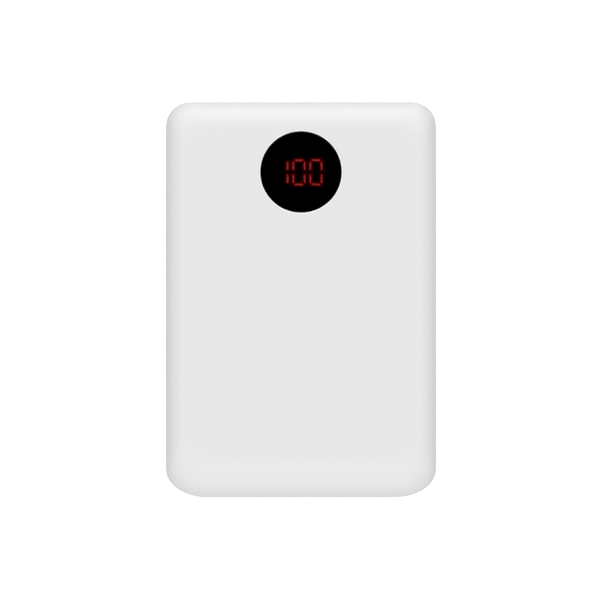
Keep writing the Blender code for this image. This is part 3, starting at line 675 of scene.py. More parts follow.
class Effects:
    """The effects that several finishes share. Each is a node group that is built once."""

    rubbed_edges: Pair = (0.52, 0.6)
    scratch_scale: float = 900.0
    streaks_to_patches: float = 6.0
    streak_stretch: Triple = (1.0, 3.0, 1.0)
    dulling: float = 4.0
    line_stretch: Triple = (1.0, 0.06, 1.0)

    def __init__(self) -> None:
        """Builds the groups."""
        self.grain = self._grain()
        self.handling = self._handling()
        self.drift = self._drift()
        self.wear = self._wear()
        self.lines = self._lines()
        self.cells = self._cells()

    @staticmethod
    def _grain() -> bpy.types.NodeTree:
        """A moulded surface: a fine grain over a long soft ripple, as a height.

        Returns:
            The group's tree.
        """
        takes = {
            "Grain Scale": (FLOAT, 3000.0),
            "Grain": (FLOAT, 0.5),
            "Ripple Scale": (FLOAT, 60.0),
            "Ripple": (FLOAT, 0.5),
        }
        group = SharedGroup("moulded_grain", takes, {"Height": FLOAT})
        sheet = group.sheet
        place = sheet.place()
        fine = sheet.noise(place, group.taken["Grain Scale"], detail=2.0)
        grain = sheet.maths("MULTIPLY", fine, group.taken["Grain"])
        ripple = sheet.noise(place, group.taken["Ripple Scale"], detail=1.0)
        group.give("Height", sheet.maths("MULTIPLY_ADD", ripple, group.taken["Ripple"], grain))
        return group.tree

    @staticmethod
    def _handling() -> bpy.types.NodeTree:
        """Faint smudges from hands, which dull a surface in patches.

        Returns:
            The group's tree.
        """
        takes = {"Roughness": (FLOAT, 0.3), "Marks": (FLOAT, 0.05), "Scale": (FLOAT, 90.0)}
        group = SharedGroup("handling_marks", takes, {"Roughness": FLOAT})
        sheet = group.sheet
        patches = sheet.noise(sheet.place(), group.taken["Scale"], detail=4.0)
        streak_scale = sheet.maths("MULTIPLY", group.taken["Scale"], Effects.streaks_to_patches)
        streaks = sheet.noise(sheet.place(Effects.streak_stretch), streak_scale, detail=2.0)
        marks = sheet.maths("MULTIPLY", sheet.maths("MULTIPLY", patches, streaks), group.taken["Marks"])
        rough = sheet.maths("MULTIPLY_ADD", marks, Effects.dulling, group.taken["Roughness"])
        group.give("Roughness", rough)
        return group.tree

    @staticmethod
    def _drift() -> bpy.types.NodeTree:
        """A colour that drifts a little lighter and darker over the surface.

        Returns:
            The group's tree.
        """
        takes = {
            "Colour": (COLOUR, (0.8, 0.8, 0.8, 1.0)),
            "Amount": (FLOAT, 0.05),
            "Scale": (FLOAT, 200.0),
        }
        group = SharedGroup("colour_drift", takes, {"Colour": COLOUR})
        sheet = group.sheet
        spots = sheet.noise(sheet.place(), group.taken["Scale"], detail=5.0)
        centred = sheet.maths("SUBTRACT", spots, 0.5)
        value = sheet.maths("MULTIPLY_ADD", centred, group.taken["Amount"], 1.0)
        shifted = sheet.add("ShaderNodeHueSaturation", {"Value": value, "Color": group.taken["Colour"]})
        group.give("Colour", shifted.outputs["Color"])
        return group.tree

    @staticmethod
    def _wear() -> bpy.types.NodeTree:
        """Edges rubbed towards another colour, broken up by a noise.

        Returns:
            The group's tree.
        """
        takes = {
            "Colour": (COLOUR, (0.5, 0.5, 0.5, 1.0)),
            "Rubbed Colour": (COLOUR, (0.9, 0.9, 0.9, 1.0)),
            "Amount": (FLOAT, 0.5),
        }
        group = SharedGroup("edge_wear", takes, {"Colour": COLOUR, "Mask": FLOAT})
        sheet = group.sheet
        edges = sheet.add("ShaderNodeNewGeometry", {}).outputs["Pointiness"]
        low, high = Effects.rubbed_edges
        rubbed = sheet.add("ShaderNodeMapRange", {"Value": edges, "From Min": low, "From Max": high})
        scratches = sheet.noise(sheet.place(), Effects.scratch_scale, detail=4.0)
        broken = sheet.maths("MULTIPLY", rubbed.outputs["Result"], scratches)
        mask = sheet.maths("MULTIPLY", broken, group.taken["Amount"])
        values = {"Factor": mask, "A": group.taken["Colour"], "B": group.taken["Rubbed Colour"]}
        mix = sheet.add("ShaderNodeMix", {}, data_type="RGBA")
        for socket in mix.inputs:
            if socket.enabled and socket.name in values:
                sheet.feed(socket, values[socket.name])
        shown = next(socket for socket in mix.outputs if socket.enabled)
        group.give("Colour", shown)
        group.give("Mask", mask)
        return group.tree

    @staticmethod
    def _lines() -> bpy.types.NodeTree:
        """Fine lines along Y, from rolling or drawing, as a height.

        Returns:
            The group's tree.
        """
        takes = {"Scale": (FLOAT, 2500.0), "Depth": (FLOAT, 1.0)}
        group = SharedGroup("rolled_lines", takes, {"Height": FLOAT})
        sheet = group.sheet
        lines = sheet.noise(sheet.place(Effects.line_stretch), group.taken["Scale"], detail=3.0)
        group.give("Height", sheet.maths("MULTIPLY", lines, group.taken["Depth"]))
        return group.tree

    @staticmethod
    def _cells() -> bpy.types.NodeTree:
        """Small round cells, as in foam or sintered ceramic, as a height.

        Returns:
            The group's tree.
        """
        takes = {"Scale": (FLOAT, 3000.0), "Depth": (FLOAT, 1.0)}
        group = SharedGroup("fine_cells", takes, {"Height": FLOAT})
        sheet = group.sheet
        values = {"Vector": sheet.place(), "Scale": group.taken["Scale"]}
        cells = sheet.add("ShaderNodeTexVoronoi", values).outputs["Distance"]
        group.give("Height", sheet.maths("MULTIPLY", cells, group.taken["Depth"]))
        return group.tree


@dataclass(frozen=True)
class Finish:
    """A plain dyed finish, and the base of the others.

    Attributes:
        name: The finish's name, which is the record's slot name where it has one.
        colour: The base colour, linear.
        roughness: The roughness where the surface is clean.
        drift: How much the colour drifts.
        marks: How much handling dulls it.
    """

    name: str
    colour: Colour
    roughness: float
    drift: float = 0.03
    marks: float = 0.03

    def build(self, effects: Effects) -> bpy.types.Material:
        """Makes the material.

        Args:
            effects: The shared effects.

        Returns:
            The material.
        """
        made = bpy.data.materials.new(self.name)
        made.use_nodes = True
        made.diffuse_color = (*self.colour, 1.0)
        sheet = NodeSheet(made.node_tree)
        shader = made.node_tree.nodes["Principled BSDF"]
        colour = sheet.group(effects.drift, {"Colour": (*self.colour, 1.0), "Amount": self.drift})
        rough = sheet.group(effects.handling, {"Roughness": self.roughness, "Marks": self.marks})
        sheet.feed(shader.inputs["Base Color"], colour.outputs["Colour"])
        sheet.feed(shader.inputs["Roughness"], rough.outputs["Roughness"])
        self.dress(effects, sheet, shader)
        return made

    def dress(self, effects: Effects, sheet: NodeSheet, shader: bpy.types.Node) -> None:
        """Adds what is particular to the finish.

        Args:
            effects: The shared effects.
            sheet: The material's sheet.
            shader: The material's shader.
        """

    @staticmethod
    def relief(
        sheet: NodeSheet, shader: bpy.types.Node, height: bpy.types.NodeSocket, depth: float
    ) -> None:
        """Turns a height into the shader's normal.

        Args:
            sheet: The material's sheet.
            shader: The material's shader.
            height: The height, from 0 to 1.
            depth: The real height of 1.
        """
        bump = sheet.add("ShaderNodeBump", {"Strength": 1.0, "Distance": depth, "Height": height})
        sheet.feed(shader.inputs["Normal"], bump.outputs["Normal"])


@dataclass(frozen=True)
class Plastic(Finish):
    """Moulded plastic.

    Attributes:
        grain: The depth of its fine grain.
        grain_scale: The grain's scale.
        ripple: The depth of its long ripple.
        coat: How much clear gloss lies over it.
        coat_roughness: The gloss's roughness.
    """

    grain: float = 0.002 * MM
    grain_scale: float = 4000.0
    ripple: float = 0.004 * MM
    coat: float = 0.0
    coat_roughness: float = 0.12

    def dress(self, effects: Effects, sheet: NodeSheet, shader: bpy.types.Node) -> None:
        """Adds the moulded grain and the gloss.

        Args:
            effects: The shared effects.
            sheet: The material's sheet.
            shader: The material's shader.
        """
        deepest = max(self.grain, self.ripple)
        values = {
            "Grain": self.grain / deepest,
            "Grain Scale": self.grain_scale,
            "Ripple": self.ripple / deepest,
        }
        height = sheet.group(effects.grain, values).outputs["Height"]
        self.relief(sheet, shader, height, deepest)
        shader.inputs["Coat Weight"].default_value = self.coat
        shader.inputs["Coat Roughness"].default_value = self.coat_roughness


@dataclass(frozen=True)
class Metal(Finish):
    """Rolled or drawn metal with rubbed edges.

    Attributes:
        rubbed: The colour of its edges.
        lines: The depth of the rolling lines.
        wear: How far the edges are rubbed.
    """

    rubbed: Colour = (0.8, 0.8, 0.8)
    lines: float = 0.003 * MM
    wear: float = 0.8

    def dress(self, effects: Effects, sheet: NodeSheet, shader: bpy.types.Node) -> None:
        """Adds the metal, its lines and its rubbed edges.

        Args:
            effects: The shared effects.
            sheet: The material's sheet.
            shader: The material's shader.
        """
        shader.inputs["Metallic"].default_value = 1.0
        under = shader.inputs["Base Color"].links[0].from_socket
        values = {"Colour": under, "Rubbed Colour": (*self.rubbed, 1.0), "Amount": self.wear}
        worn = sheet.group(effects.wear, values)
        sheet.feed(shader.inputs["Base Color"], worn.outputs["Colour"])
        height = sheet.group(effects.lines, {"Depth": 1.0}).outputs["Height"]
        self.relief(sheet, shader, height, self.lines)


@dataclass(frozen=True)
class Cellular(Finish):
    """Foam, or a sintered ceramic: a surface of small cells.

    Attributes:
        cell_scale: The cells' scale.
        depth: The cells' depth.
    """

    cell_scale: float = 3500.0
    depth: float = 0.05 * MM

    def dress(self, effects: Effects, sheet: NodeSheet, shader: bpy.types.Node) -> None:
        """Adds the cells."""
        height = sheet.group(effects.cells, {"Scale": self.cell_scale}).outputs["Height"]
        self.relief(sheet, shader, height, self.depth)


@dataclass(frozen=True)
class TracedBoard(Finish):
    """A circuit board: a green mask over copper tracks, which show as paler raised lines.

    Attributes:
        track: The colour over the tracks.
        height: How far the tracks stand up.
    """

    track: Colour = (0.05, 0.22, 0.06)
    height: float = 0.02 * MM

    def dress(self, effects: Effects, sheet: NodeSheet, shader: bpy.types.Node) -> None:
        """Adds the tracks.

        Args:
            effects: The shared effects.
            sheet: The material's sheet.
            shader: The material's shader.
        """
        under = shader.inputs["Base Color"].links[0].from_socket
        grid = sheet.add(
            "ShaderNodeTexBrick",
            {
                "Vector": sheet.place(),
                "Color1": (*self.track, 1.0),
                "Color2": (*self.track, 1.0),
                "Scale": 300.0,
                "Mortar Size": 0.035,
                "Brick Width": 1.4,
                "Row Height": 0.45,
            },
        )
        sheet.feed(grid.inputs["Mortar"], under)
        track = sheet.maths("SUBTRACT", 1.0, grid.outputs["Fac"])
        sheet.feed(shader.inputs["Base Color"], grid.outputs["Color"])
        self.relief(sheet, shader, track, self.height)


@dataclass(frozen=True)
class FibrousPaper(Finish):
    """Pressed insulating paper, with fibres that lie mostly one way.

    Attributes:
        fibre: How far the fibres stand up.
        fibre_scale: The fibres' scale.
        stretch: How the fibres are stretched along the axes.
    """

    fibre: float = 0.03 * MM
    fibre_scale: float = 1800.0
    stretch: Triple = (1.0, 0.2, 0.2)

    def dress(self, effects: Effects, sheet: NodeSheet, shader: bpy.types.Node) -> None:
        """Adds the fibres."""
        fibres = sheet.noise(sheet.place(self.stretch), self.fibre_scale, detail=6.0)
        self.relief(sheet, shader, fibres, self.fibre)


@dataclass(frozen=True)
class SmokedGlass(Finish):
    """Dark clear acrylic.

    Attributes:
        bending: Its index of refraction.
    """

    bending: float = 1.49

    def dress(self, effects: Effects, sheet: NodeSheet, shader: bpy.types.Node) -> None:
        """Lets light through."""
        shader.inputs["Transmission Weight"].default_value = 1.0
        shader.inputs["IOR"].default_value = self.bending


@dataclass(frozen=True)
class PaintedSpillFilm(Finish):
    """A thin dark film that lets most light through, with a painted glow where the lit bars' light
    would spill into it.

    Attributes:
        light: The colour of the painted glow.
        strength: How strong it is where the film's spill is 1.
        cover: How much of what lies behind it hides.
    """

    light: Colour = (1.0, 0.0, 0.0)
    strength: float = 1.0
    cover: float = 0.3

    def dress(self, effects: Effects, sheet: NodeSheet, shader: bpy.types.Node) -> None:
        """Adds the painted glow, by the piece's own spill attribute.

        Args:
            effects: The shared effects.
            sheet: The material's sheet.
            shader: The material's shader.
        """
        spill = sheet.add("ShaderNodeAttribute", {}, attribute_name=SPILL).outputs["Fac"]
        glow = sheet.add("ShaderNodeVectorMath", {0: self.light, "Scale": spill}, operation="SCALE")
        sheet.feed(shader.inputs["Emission Color"], glow.outputs["Vector"])
        shader.inputs["Emission Strength"].default_value = self.strength
        shader.inputs["Alpha"].default_value = self.cover


@dataclass(frozen=True)
class Glow(Plastic):
    """A tinted plastic with an emission: on the lit digits it is the light from behind them, and on the
    white lens ring it is a painted glow.

    Attributes:
        light: The colour of its light.
        strength: How strong the light is.
        patches: How unevenly it is lit.
        patch_scale: The scale of the uneven patches.
    """

    light: Colour = (1.0, 0.0, 0.0)
    strength: float = 1.0
    patches: float = 0.25
    patch_scale: float = 900.0

    def dress(self, effects: Effects, sheet: NodeSheet, shader: bpy.types.Node) -> None:
        """Adds the emission to the plastic's own looks: the digits' light, or the lens ring's painted
        glow.

        Args:
            effects: The shared effects.
            sheet: The material's sheet.
            shader: The material's shader.
        """
        super().dress(effects, sheet, shader)
        values = {"Colour": (*self.light, 1.0), "Amount": self.patches, "Scale": self.patch_scale}
        lit = sheet.group(effects.drift, values)
        sheet.feed(shader.inputs["Emission Color"], lit.outputs["Colour"])
        shader.inputs["Emission Strength"].default_value = self.strength


EVERY_FINISH = (
    Plastic("white_gloss", (0.80, 0.80, 0.80), 0.28, drift=0.008, marks=0.01),
    Plastic("white_satin", (0.76, 0.76, 0.755), 0.42, drift=0.02, grain=0.006 * MM),
    # bright_white: its emission is a painted glow, a painted highlight that stands for light caught on
    # the ring's edge; the ring is no lamp.
    Glow("bright_white", (0.95,) * 3, 0.16, drift=0.005, marks=0.01, light=(1.0,) * 3, strength=0.12),
    SmokedGlass("smoked_lens", (0.045, 0.042, 0.045), 0.02, drift=0.02, marks=0.003),
    Plastic("black_plastic", (0.012, 0.012, 0.013), 0.5, drift=0.1, grain=0.008 * MM),
    Plastic("red_diffuser", (0.012, 0.003, 0.003), 0.4, drift=0.1),
    Cellular("black_foam", (0.010, 0.010, 0.011), 0.9, drift=0.1),
    Cellular("grey_foam", (0.16, 0.16, 0.17), 0.92, drift=0.1),
    Plastic("clear_tape", (0.62, 0.56, 0.36), 0.3, marks=0.05, coat=0.4),
    TracedBoard("board_green", (0.012, 0.10, 0.028), 0.35, drift=0.1),
    Metal("socket_steel", (0.56, 0.57, 0.58), 0.26, rubbed=(0.85, 0.86, 0.87)),
    Metal("contact_gold", (0.95, 0.66, 0.27), 0.2, rubbed=(0.9, 0.72, 0.4)),
    Metal("nickel", (0.62, 0.60, 0.56), 0.3),
    Metal("cell_foil", (0.74, 0.75, 0.77), 0.34, lines=0.008 * MM),
    Cellular("ferrite_grey", (0.05, 0.05, 0.055), 0.7, cell_scale=6000.0, depth=0.02 * MM),
    Plastic("chip_black", (0.018, 0.018, 0.02), 0.55, drift=0.1, grain=0.01 * MM),
    Cellular("ceramic_tan", (0.42, 0.28, 0.15), 0.5, cell_scale=8000.0, depth=0.01 * MM),
    Metal("can_aluminium", (0.80, 0.81, 0.82), 0.3),
    Plastic("ribbon_amber", (0.52, 0.22, 0.03), 0.32, drift=0.08, coat=0.3),
    FibrousPaper("fish_paper", (0.46, 0.44, 0.34), 0.8, drift=0.1),
    Glow("lit_red", (0.08, 0.004, 0.004), 0.4, light=(1.0, 0.1, 0.11), strength=8.2),
    # the film's emission is a painted glow round the lit bars, not a lamp
    PaintedSpillFilm("painted_spill_red", (0.008, 0.002, 0.002), 0.6, light=(1.0, 0.0, 0.004), strength=9.0),
)


class Fitter:
    """Gives finished pieces their material and body, and hides the nodes that they stand for."""

    def __init__(self, frame: dict[str, Any]) -> None:
        """Builds every finish.

        Args:
            frame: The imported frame.
        """
        self.frame = frame
        effects = Effects()
        self.materials = {finish.name: finish.build(effects) for finish in EVERY_FINISH}

    def fit(
        self,
        piece: Workpiece,
        slot: str,
        nodes: Sequence[str] = (),
        body: str = CASING_BODY,
        finish: str = "",
        angle: float = 30.0,
    ) -> None:
        """Finishes one piece.

        Args:
            piece: The piece.
            slot: The record's slot that its finish comes from.
            nodes: The nodes that it stands for.
            body: The body that it rides on.
            finish: The finish's name, where it isn't the slot's.
            angle: The sharpest edge that is shaded smooth, in degrees.
        """
        piece.smooth(angle)
        piece.obj.data.materials.clear()
        piece.obj.data.materials.append(self.materials[finish or slot])
        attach(piece.obj, body)
        if nodes:
            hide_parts(*nodes)
        LOG.info("%s: %d faces", piece.obj.name, len(piece.obj.data.polygons))

    def dress_nodes(self, slots: dict[str, str]) -> None:
        """Gives every carried node the finish of its slot.

        Args:
            slots: Each node's slot.
        """
        for name, node in self.frame["nodes"].items():
            material = self.materials[slots[name]]
            if not node.data.materials:
                node.data.materials.append(material)
            for slot in node.material_slots:
                slot.material = material


# --- The casing ---


class Half(Enum):
    """The two covers, by the way each one faces."""

    FRONT = 1
    REAR = -1


@dataclass
class Casing:
    """The two covers, which share one outside form and close on a lip.

    A roll carries the walls over into the faces. Each of its three is an inset and a squareness.
    """

    wall: float = 1.6 * MM
    display_corner: float = 5.5 * MM
    far_corner: Pair = (9.2 * MM, 6.4 * MM)
    corner_steps: int = 16
    roll_side: Pair = (5.5 * MM, 2.15)
    roll_display_end: Pair = (7.0 * MM, 2.8)
    roll_far_end: Pair = (11.0 * MM, 2.0)
    roll_height: float = 8.7 * MM
    outer_steps: int = 28
    inner_steps: int = 12
    flat_border: float = 0.8 * MM
    seam: float = 0.2 * MM
    seam_edge: float = 0.15 * MM
    lip_outer: float = 1.0 * MM
    lip_height: float = 1.35 * MM
    rebate_depth: float = 0.75 * MM
    joined: float = 0.4 * MM
    window_edge: float = 0.05 * MM
    seat_radius: float = 10.5 * MM
    seat_depth: float = 3.0 * MM
    ledge_depth: float = 1.78 * MM
    sight_radius: float = 7.9 * MM
    window_gap: float = 0.03 * MM
    hook_places: Pair = (-28.0 * MM, 4.0 * MM)
    hook_width: float = 4.0 * MM
    hook_stem: Profile = (27.6 * MM, 28.5 * MM, 6.2 * MM, 14.9 * MM)
    hook_foot: Triple = (27.6 * MM, 6.4 * MM, 8.2 * MM)
    hook_barb: Profile = (28.0 * MM, 29.2 * MM, 13.9 * MM, 14.7 * MM)
    hook_edge: float = 0.12 * MM
    catch_levels: Pair = (1.7 * MM, 2.4 * MM)
    catch_width: float = 4.8 * MM
    boss_radius: float = 2.3 * MM
    boss_steps: int = 48
    pilot_radius: float = 0.75 * MM
    pilot_steps: int = 32
    post_radius: float = 1.5 * MM
    post_steps: int = 36
    post_place: Pair = (17.2 * MM, 36.0 * MM)
    boss_top: float = 6.8 * MM
    boss_edge: float = 0.2 * MM
    pilot_bottom: float = 2.6 * MM
    rib_low: Pair = (-20.0 * MM, 22.9 * MM)
    rib_high: Triple = (20.0 * MM, 23.7 * MM, 5.8 * MM)
    moulded_edge: float = 0.15 * MM
    plate_gap: float = 0.2 * MM
    plate_corner: float = 1.6 * MM
    plate_flare: float = 0.18 * MM
    button_gap: float = 0.2 * MM
    button_flare: float = 0.15 * MM

    def __post_init__(self) -> None:
        """Takes the casing's place from the front cover's node."""
        front_low, front_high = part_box("front_cover")
        self.half_x = front_high.x
        self.half_y = front_high.y
        self.top = front_high.z
        self.middle = front_low.z - self.seam / 2

    def outline(self, name: str) -> Sweep:
        """The casing's outline where it is widest, at the level of the seam.

        Args:
            name: The object's name.

        Returns:
            The outline, ready to be swept.
        """
        centre = (0.0, 0.0, self.middle)
        size = (2 * self.half_x, 2 * self.half_y)
        piece = Workpiece.rectangle(name, Axis.Z, size, centre)
        piece.pick_vertices(lambda place: place.y > 0)
        piece.bevel(self.display_corner, self.corner_steps, corners=True)
        stretch = self.far_corner[0] / self.far_corner[1]
        bpy.ops.mesh.select_all(action="SELECT")
        piece.resize((1.0, stretch, 1.0), centre)
        piece.pick_vertices(lambda place: place.y < 0)
        piece.bevel(self.far_corner[0], self.corner_steps, corners=True)
        bpy.ops.mesh.select_all(action="SELECT")
        piece.resize((1.0, 1 / stretch, 1.0), centre)
        return Sweep(piece, Axis.Z, (self.half_x, self.half_y), centre)

    def roll(self, wall: float, steps: int, half: Half) -> list[Ring]:
        """The rings that carry a wall over into a face.

        Args:
            wall: How far the surface lies inside the outside.
            steps: How many rings.
            half: The cover.

        Returns:
            The rings, from the wall to the face, with one more inside it that keeps the face flat.
        """
        rings = []
        foot = self.top - self.middle - self.roll_height
        for step in range(steps + 1):
            upwards = math.sin(step / steps * math.pi / 2) ** (2 / self.roll_side[1])
            side, display_end, far_end = (
                wall + (inset - wall) * (1 - max(0.0, 1 - upwards**power) ** (1 / power))
                for inset, power in (self.roll_side, self.roll_display_end, self.roll_far_end)
            )
            height = foot + (self.roll_height - wall) * upwards
            ends = (display_end + far_end) / 2
            shift = (far_end - display_end) / 2
            rings.append(Ring(side, ends, self.middle + half.value * height, shift))
        last = rings[-1]
        border = self.flat_border
        rings.append(Ring(last.inset_u + border, last.inset_v + border, last.level, last.shift_v))
        return rings

    def shell(self, name: str, half: Half) -> Workpiece:
        """A cover's wall, from its inner face round its seam to its outer face.

        Args:
            name: The object's name.
            half: The cover.

        Returns:
            The closed shell.
        """

        def level(height: float) -> float:
            """The level at a height over the seam's middle, towards the cover's own face."""
            return self.middle + half.value * height

        seam = self.seam / 2
        shoulder = self.rebate_depth if half is Half.FRONT else self.lip_outer
        step = level(seam + half.value * self.lip_height)
        joint = evens((self.wall, step), (shoulder, step), (shoulder, level(seam)))
        edge = evens((self.seam_edge, level(seam)), (0.0, level(seam + self.seam_edge)))
        inner = self.roll(self.wall, self.inner_steps, half)[::-1]
        outer = self.roll(0.0, self.outer_steps, half)
        return self.outline(name).solid([*inner, *joint, *edge, *outer])

    def openings(self) -> tuple[Workpiece, Workpiece]:
        """Cutters for the openings round the socket plate and round the button, flared at their mouths.

        Returns:
            The two cutters.
        """
        button_y = middle_of(*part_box("power_button")).y
        width, height = (side + 2 * self.plate_gap for side in SocketPlate.face)
        place = (0.0, self.half_y, self.middle)
        plate = rounded("plate_opening", Axis.Y, (width, height), place, self.plate_corner)
        cut_plate = plate.solid(flared(self.half_y - self.wall - BEYOND, self.half_y, self.plate_flare))
        length, height = (side + 2 * self.button_gap for side in PowerButton.cap)
        place = (self.half_x, button_y, self.middle)
        button = pill("button_opening", Axis.X, (length, height), place)
        start = self.half_x - self.wall - BEYOND / 2
        return cut_plate, button.solid(flared(start, self.half_x, self.button_flare))

    def side_blocks(self, name: str, profile: Profile, width: float) -> Workpiece:
        """Four blocks, two on each long side.

        Args:
            name: The object's name.
            profile: Inner X, outer X, bottom and top, on the +X side.
            width: Each block's width along Y.

        Returns:
            The blocks as one object.
        """
        inner, outer, bottom, top = profile
        first, second = self.hook_places
        low = (inner, first - width / 2, bottom)
        high = (outer, first + width / 2, top)
        block = Workpiece.block(name, low, high, self.hook_edge)
        along = second - first
        across = -(inner + outer)
        offsets = ((0.0, along, 0.0), (across, 0.0, 0.0), (across, along, 0.0))
        copies = [block.copy(f"{name}_{number}", offset) for number, offset in enumerate(offsets, 2)]
        return Workpiece.merged(name, [block, *copies])

    def front(self) -> Workpiece:
        """The front cover, with the lens's seat and window and the catches for the hooks.

        Returns:
            The cover.
        """
        bezel_low, bezel_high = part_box("lens_bezel")
        place = (0.0, middle_of(bezel_low, bezel_high).y, self.top)
        cover = self.shell("front_cover_shell", Half.FRONT)
        seat = round_bar("lens_seat", Axis.Z, self.seat_radius, place)
        seat_low = self.top - self.seat_depth
        edge = self.moulded_edge
        seat_high = self.top - self.wall + self.joined
        cover.add(seat.solid(evens((edge, seat_low), (0.0, seat_low + edge), (0.0, seat_high))))
        inside = self.half_x - self.wall
        low, high = (self.middle + level for level in self.catch_levels)
        catch = (inside - self.joined, inside + self.joined, low, high)
        cover.add(self.side_blocks("catches", catch, self.catch_width))
        radius = (bezel_high.x - bezel_low.x) / 2 + self.window_gap
        narrow = radius - self.sight_radius
        ledge = self.top - self.ledge_depth
        window = round_bar("window", Axis.Z, radius, place, FINE_STEPS)
        rings = evens((narrow, seat_low - BEYOND), (narrow, ledge))
        cut_window = window.solid([*rings, *flared(ledge, self.top, self.window_edge)])
        return cover.cut(cut_window, *self.openings())

    def rear(self) -> Workpiece:
        """The rear cover, with its screw bosses, posts, rib and hooks.

        Returns:
            The cover.
        """
        cover = self.shell("rear_cover_shell", Half.REAR)
        screws = [middle_of(*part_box(f"board_screw_{side}")) for side in ("left", "right")]
        bottom = self.wall - self.joined
        post_x, post_y = self.post_place
        boss_1, boss_2 = (screw.xy for screw in screws)
        stands = (
            ("boss_1", self.boss_radius, boss_1, self.boss_steps),
            ("boss_2", self.boss_radius, boss_2, self.boss_steps),
            ("post_1", self.post_radius, (-post_x, post_y), self.post_steps),
            ("post_2", self.post_radius, (post_x, post_y), self.post_steps),
        )
        for name, radius, place, steps in stands:
            stand = round_bar(name, Axis.Z, radius, (*place, bottom), steps)
            top = softened(0.0, self.boss_top, self.boss_edge, 1, steps=2)
            cover.add(stand.solid([even(0.0, bottom), *top]))
        inner, foot_low, foot_high = self.hook_foot
        foot = (inner, self.half_x - self.wall + self.joined, foot_low, foot_high)
        hooks = {"stems": self.hook_stem, "feet": foot, "barbs": self.hook_barb}
        for name, profile in hooks.items():
            cover.add(self.side_blocks(f"hook_{name}", profile, self.hook_width))
        cover.add(Workpiece.block("rib", (*self.rib_low, bottom), self.rib_high, self.moulded_edge))
        for name, place in (("pilot_1", boss_1), ("pilot_2", boss_2)):
            pilot = round_bar(name, Axis.Z, self.pilot_radius, (*place, bottom), self.pilot_steps)
            cover.cut(pilot.solid(evens((0.0, self.pilot_bottom), (0.0, self.boss_top + BEYOND))))
        return cover.cut(*self.openings())

    def build(self, fitter: Fitter) -> None:
        """Builds and fits both covers.

        Args:
            fitter: Finishes the pieces.
        """
        fitter.fit(self.front(), "white_gloss", ["front_cover"])
        fitter.fit(self.rear(), "white_gloss", ["rear_cover"])


# --- The display ---


class Bar(Enum):
    """The seven bars of a digit: place across and up, in half sizes, and whether it stands upright."""

    A = (0.0, 1.0, False)
    B = (1.0, 0.5, True)
    C = (1.0, -0.5, True)
    D = (0.0, -1.0, False)
    E = (-1.0, -0.5, True)
    F = (-1.0, 0.5, True)
    G = (0.0, 0.0, False)


class Numeral(Enum):
    """The numerals that the display shows, by the bars that are lit."""

    ONE = (Bar.B, Bar.C)
    ZERO = (Bar.A, Bar.B, Bar.C, Bar.D, Bar.E, Bar.F)


